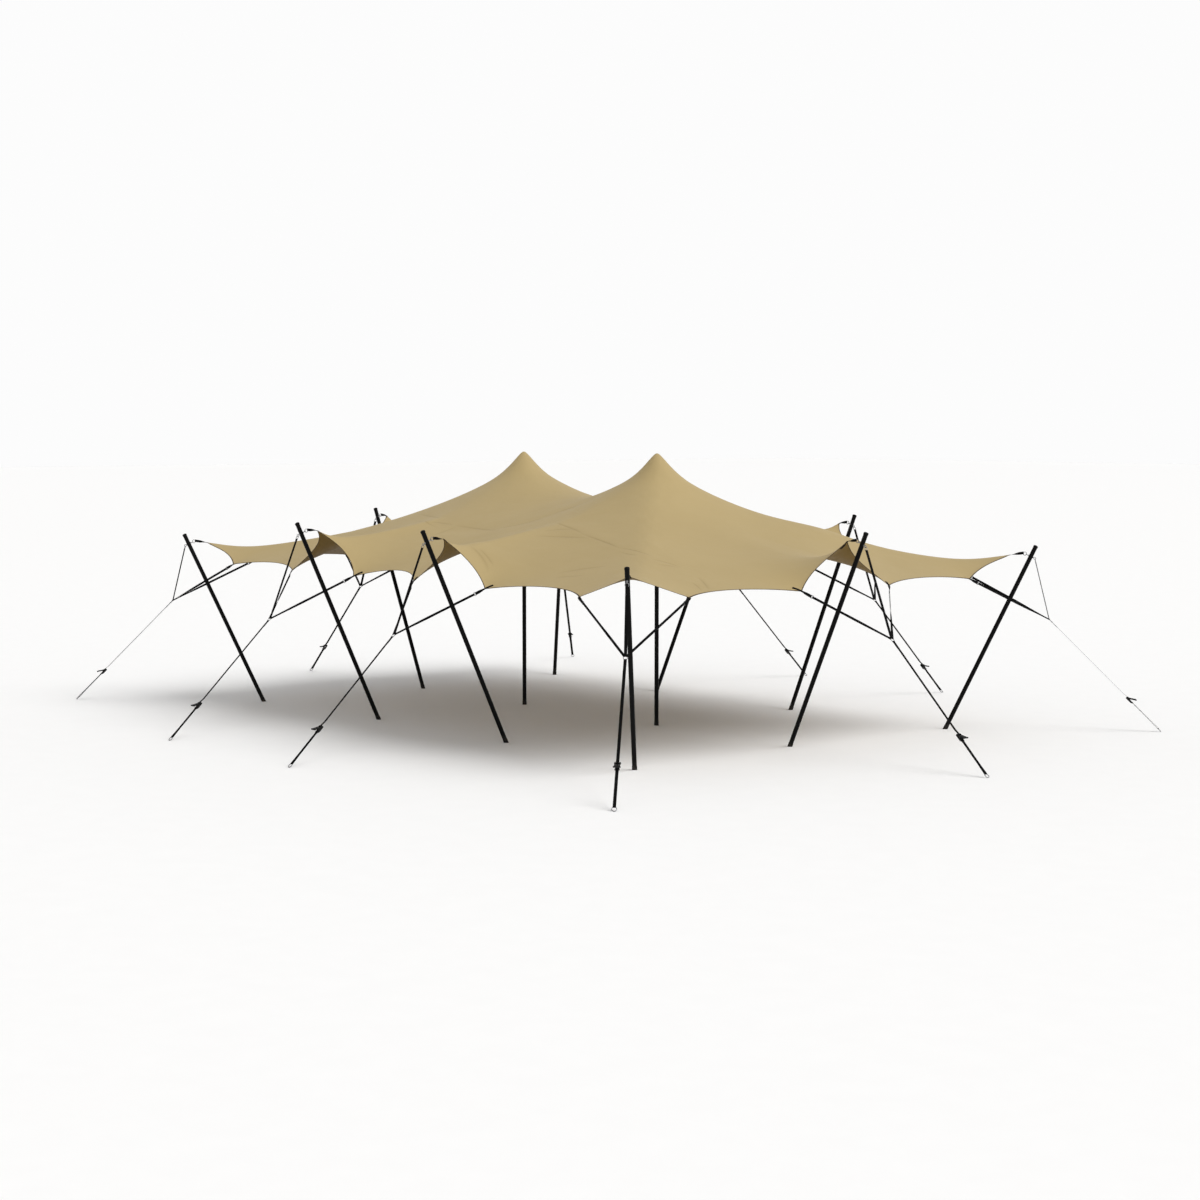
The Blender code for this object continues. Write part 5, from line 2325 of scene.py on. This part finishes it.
    def _tab(self, made: Shape, seams: list, canopy: Canopy, hold: Hold, bar: Bar) -> None:
        """Adds a wide tab sewn on to the cloth, out round a bar and back under itself.

        Args:
            made: The webbing, added to.
            seams: The stitches' paths on the tab, added to.
            canopy: The cloth.
            hold: Where and how it is sewn to the cloth.
            bar: The bar that it goes round.
        """
        upper = hold.upper
        under, clear = self._onto_cloth(canopy, hold)
        edge = canopy.spot(hold.flat)[0]
        normal = canopy.spot(np.array(hold.flat) + np.array(hold.inward) * self.tab_probe)[1]
        middle, along = np.array(bar.middle), np.array(bar.along)
        length = float(np.linalg.norm(middle - edge))
        out = (middle - edge) / length
        side = unit(along - out * (along @ out))
        turn = self._round(bar.radius, self.thickness)
        drop = canopy.hem_thickness / 2 + self.thickness / 2
        below = self.thickness * self.tab_layer
        inner_side = unit(np.cross(under[0] - under[-1], normal))
        side = side if side @ inner_side > 0 else -side
        face = np.cross(side, out)
        points, sides = list(under[::-1]), [inner_side] * len(under)
        outwards = np.linspace(self.tab_run[0], length - self.tab_run[1], 9)
        inwards = np.linspace(length - self.tab_return[0], self.tab_return[1], 9)
        for layer, places in ((0.0, outwards), (1.0, inwards)):
            if layer:
                for t in np.linspace(0, math.pi, 9):
                    points.append(middle + turn * (out * math.sin(t) + face * math.cos(t)))
                    sides.append(side)
            for place in places:
                share = place / length
                ease = eased(share)
                across = unit(inner_side * (1 - ease) + side * ease)
                rise = (1 - share) * upper * drop
                lift = share * turn - layer * below * (1 + share * self.tab_parting)
                points.append(edge + out * place + normal * rise + unit(np.cross(across, out)) * lift)
                sides.append(across)
        made.take(ribbon(np.array(points), np.array(sides), self.width, self.thickness))
        way, centre = unit(under[-1] - under[0]), under[len(under) // 2]
        share_along, share_across = self.tab_sewn_shares
        box_size = self.sewn_on * share_along, self.width * share_across
        box = box_stitch(Vector(centre), Vector(way), Vector(inner_side), *box_size)
        seams.append(box + upper * (normal * (self.thickness / 2 + self.stitch_rise)))
        through = drop + clear / 2 + canopy.hem_thickness / 2 + self.stitch_rise
        self.cloth_seams.append(box - normal * (upper * through))

    def _tip_tab(self, made: Shape, seams: list, station: Station, canopy: Canopy) -> None:
        """Adds the wide tab between the inner link and the canopy's tip.

        Args:
            made: The webbing, added to.
            seams: Its stitches' paths, added to.
            station: The side pole.
            canopy: The cloth.
        """
        flat = canopy.holds(station)[0][0]
        inward = unit(np.array([math.copysign(canopy.peak_x, flat[0]) - flat[0], -flat[1]]))
        axis, square, _ = self.frame_of(station)
        bar = Bar(self.links(station)[0] - square * self.link_radius, axis, self.wire_radius)
        self._tab(made, seams, canopy, Hold(flat, tuple(inward), -1), bar)

    def _low_tab(self, made: Shape, seams: list, strap: SideStrap, canopy: Canopy) -> None:
        """Adds the wide tab between a low point of the canopy and its buckle.

        Args:
            made: The webbing, added to.
            seams: Its stitches' paths, added to.
            strap: The strap below it.
            canopy: The cloth.
        """
        flat, way = strap.flat, np.array(strap.way)
        inward = canopy.carried_on(flat, way)
        ahead = canopy.spot(np.array(flat) + np.array(inward) * self.sewn_on)[0] - canopy.spot(flat)[0]
        upper = 1 if unit(ahead) @ way > self.in_line else -1
        bar = Bar(strap.buckle + strap.way * (self.buckle_length / 2), strap.across, self.slide_radius)
        self._tab(made, seams, canopy, Hold(flat, inward, upper), bar)

    def _side_strap(self, made: Shape, seams: list, strap: SideStrap) -> None:
        """Adds the narrow webbing from the junction ring to the buckle, sewn back on itself at both ends.

        Args:
            made: The webbing, added to.
            seams: Its stitches' paths, added to.
            strap: Where it runs.
        """
        way, thick, layer = strap.way, self.strap_thickness, self.strap_gap / 2
        length = (strap.buckle - way * (self.buckle_length / 2) - strap.start).length
        near, far = self.ring_clear, length - self.bar_clear
        ring_end, bar_end = self.strap_back
        places = [(s, -layer) for s in np.linspace(ring_end, near, 5)]
        places += half_turn(0.0, self._round(self.wire_radius, thick), -1)
        places += [(s, layer) for s in np.linspace(near, far, 24)]
        places += half_turn(length, self._round(self.slide_radius, thick), 1)
        places += [(s, -layer) for s in np.linspace(far, bar_end, 24)]
        sides = [strap.side(s) for s, _ in places]
        points = [tuple(strap.start + way * s + side.cross(way) * a) for (s, a), side in zip(places, sides)]
        made.take(ribbon(np.array(points), np.array(sides), self.narrow, thick))
        for place in (self.strap_sewn[0], length - self.strap_sewn[1]):
            side = strap.side(place)
            off = side.cross(way) * (layer + thick / 2 + self.stitch_rise)
            seams += both_faces(strap.start + way * place, off, way, side, self.strap_box, self.narrow)

    def _head_sling(self, made: Shape, seams: list, station: Station) -> None:
        """Adds the endless doubled strap between the outer link and the junction ring.

        Args:
            made: The webbing, added to.
            seams: Its stitches' paths, added to.
            station: The side pole.
        """
        _, outer_link, down = self.links(station)
        start = outer_link + down * self.link_radius
        end = station.junction - station.line * self.junction_radius
        turn = self._round(self.wire_radius, self.thickness)
        face = down.cross(station.across)
        path = looped(start, end, face, turn, turn, self.sling_gap)
        made.take(ribbon(path, station.across, self.width, self.thickness, True))
        way = (end - start).normalized()
        face = (face - way * face.dot(way)).normalized()
        off = face * (self.sling_gap / 2 + self.thickness / 2 + self.stitch_rise)
        for place in (start + way * self.sling_sewn, end - way * self.sling_sewn):
            seams += both_faces(place, off, way, station.across, self.sling_box, self.width)

    def _main(self, made: Shape, seams: list, station: Station) -> None:
        """Adds the long strap: sewn back round the junction ring, down the guy and rolled on to the spindle.

        Args:
            made: The webbing, added to.
            seams: Its stitches' paths, added to.
            station: The side pole.
        """
        line, above = station.line, station.above
        start = station.junction + line * self.junction_radius
        length = (station.spindle - start).dot(line)
        layer, near, roll = self.thickness * self.main_layer, self.ring_clear, self.roll_radius
        places = [(s, -layer) for s in np.linspace(self.main_back, near, 6)]
        places += half_turn(0.0, self._round(self.wire_radius, self.thickness), -1)
        places += [(s, layer) for s in np.linspace(near, length - self.roll_from, 40)]
        for share in np.linspace(0.0, 1.0, 8)[1:-1]:
            places.append((length - self.roll_from * (1 - share), layer + (roll - layer) * eased(share)))
        for angle in np.linspace(0.0, self.roll_turns * TURN, 90):
            radius = roll - (self.thickness + self.roll_gap) * angle / TURN
            places.append((length + radius * math.sin(angle), radius * math.cos(angle)))
        path = np.array([tuple(start + line * s + above * a) for s, a in places])
        made.take(ribbon(path, station.across, self.width, self.thickness))
        off = above * (layer + self.thickness / 2 + self.stitch_rise)
        sewn = start + line * self.main_sewn
        seams += both_faces(sewn, off, line, station.across, self.main_box, self.width)

    def ground_loop(self, station: Station) -> tuple[Shape, list[np.ndarray]]:
        """Makes the doubled strap between the ratchet's bolt and the ground ring.

        Args:
            station: The side pole.

        Returns:
            The webbing and the paths of its stitches.
        """
        line, across = station.line, station.across
        start = station.spindle + line * Ratchet.bolt_at
        end = station.ground_ring - line * self.ground_radius
        thick, gap = self.loop_thickness, self.loop_gap
        radii = self._round(Ratchet.bolt_radius, thick), self._round(self.ground_wire, thick)
        path = looped(start, end, station.above, *radii, gap, self.loop_taper)
        off = station.above * ((gap + thick) / 2 + self.stitch_rise)
        seams = []
        for place in self.loop_sewn:
            seams += both_faces(start + line * place, off, line, across, self.loop_box, self.width)
        return ribbon(path, across, self.width, thick, True), seams

    def dress(self, canopy: Canopy, places: list[Station], stitches: StitchTree) -> None:
        """Makes every guy and its fittings and puts them on the tent.

        Args:
            canopy: The cloth that they hold.
            places: The side poles.
            stitches: The stitches' tree.
        """
        weave, bright, thread = WebbingFinish().material(), BRIGHT_STEEL.material(), DARK_THREAD.material()
        for station in places:
            name = station.name
            fittings = self.fittings(station, canopy).piece("fittings_" + name, bright)
            dressed(fittings, ROOT_BODY, Slot.RING, "pole_" + name, "guy_" + name)
            straps, seams = self.webbing(station, canopy)
            dressed(straps.piece("webbing_" + name, weave), ROOT_BODY, Slot.WEBBING, "guy_" + name)
            loop, loop_seams = self.ground_loop(station)
            dressed(loop.piece("ground_webbing_" + name, weave), ROOT_BODY, Slot.WEBBING, "ratchet_" + name)
            sewn = stitches.sew("stitching_" + name, seams + loop_seams, thread, STRAP_STITCH)
            dressed(sewn, ROOT_BODY, Slot.WEBBING, "guy_" + name)


# Studio


@dataclass(frozen=True)
class Lamp:
    """A soft distant light: the way of its rays, its strength, its width in degrees, and its colour."""

    name: str
    shine: tuple
    strength: float
    softness: float
    colour: tuple

    def build(self) -> None:
        """Adds the light to the scene."""
        data = bpy.data.lights.new(self.name, "SUN")
        data.energy, data.color = self.strength, self.colour
        data.angle = math.radians(self.softness)
        light = bpy.data.objects.new(self.name, data)
        light.rotation_euler = Vector(self.shine).to_track_quat("-Z", "Y").to_euler()
        bpy.context.scene.collection.objects.link(light)


@dataclass
class Studio:
    """Pale floor, soft light, and the camera at the photograph's angle."""

    place: tuple[float, float, float] = (24.651, -20.244, 4.205)
    turn: float = math.radians(50.291)
    tilt: float = math.radians(-4.502)
    lens: float = 65.37
    sensor: float = 36.0
    far: float = 1000.0
    floor_half: float = 200.0
    dome: float = 0.46
    horizon: float = 0.975
    band: Pair = (0.21, 0.50)
    lamps: tuple[Lamp, ...] = (
        Lamp("key", (-0.57, -0.30, -0.75), 2.15, 46.0, (1.0, 0.99, 0.975)),
        Lamp("fill", (-0.76, 0.64, -0.30), 0.12, 60.0, (0.98, 0.99, 1.0)),
    )

    def build(self) -> None:
        """Sets up the camera, the lights, the world and the floor."""
        scene = bpy.context.scene
        camera_data = bpy.data.cameras.new("camera")
        camera_data.lens, camera_data.sensor_width = self.lens, self.sensor
        camera_data.clip_end = self.far
        camera = bpy.data.objects.new("camera", camera_data)
        camera.location = self.place
        camera.rotation_euler = (math.pi / 2 + self.tilt, 0.0, self.turn)
        scene.collection.objects.link(camera)
        scene.camera = camera
        for lamp in self.lamps:
            lamp.build()
        scene.world = bpy.data.worlds.new("studio")
        sheet = NodeSheet(scene.world, "Background")
        height = sheet.part(sheet.node("ShaderNodeTexCoord", output="Generated"), 2)
        low = 1.0 - height.clamped(*self.band)
        sheet.set(Color=(1.0, 1.0, 1.0), Strength=self.dome + low * (self.horizon - self.dome))
        scene.view_settings.view_transform = "Standard"
        half = self.floor_half
        corners = np.array([(-half, -half, 0.0), (half, -half, 0.0), (half, half, 0.0), (-half, half, 0.0)])
        Shape().add(corners, [(0, 1, 2, 3)]).piece("floor", FLOOR.material())


def main() -> None:
    """Builds the tent."""
    logging.basicConfig(level=logging.INFO, format="%(message)s")
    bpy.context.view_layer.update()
    Studio().build()
    places = stations()
    stitches = StitchTree()
    canopy, rigging = Canopy(), Rigging()
    canopy.settle(places)
    cloth = canopy.dress()
    Poles().dress(canopy, places)
    rigging.dress(canopy, places, stitches)
    Ratchet().dress(places)
    canopy.dress_hem(cloth, stitches, rigging.cloth_seams)


if __name__ == "__main__":
    main()
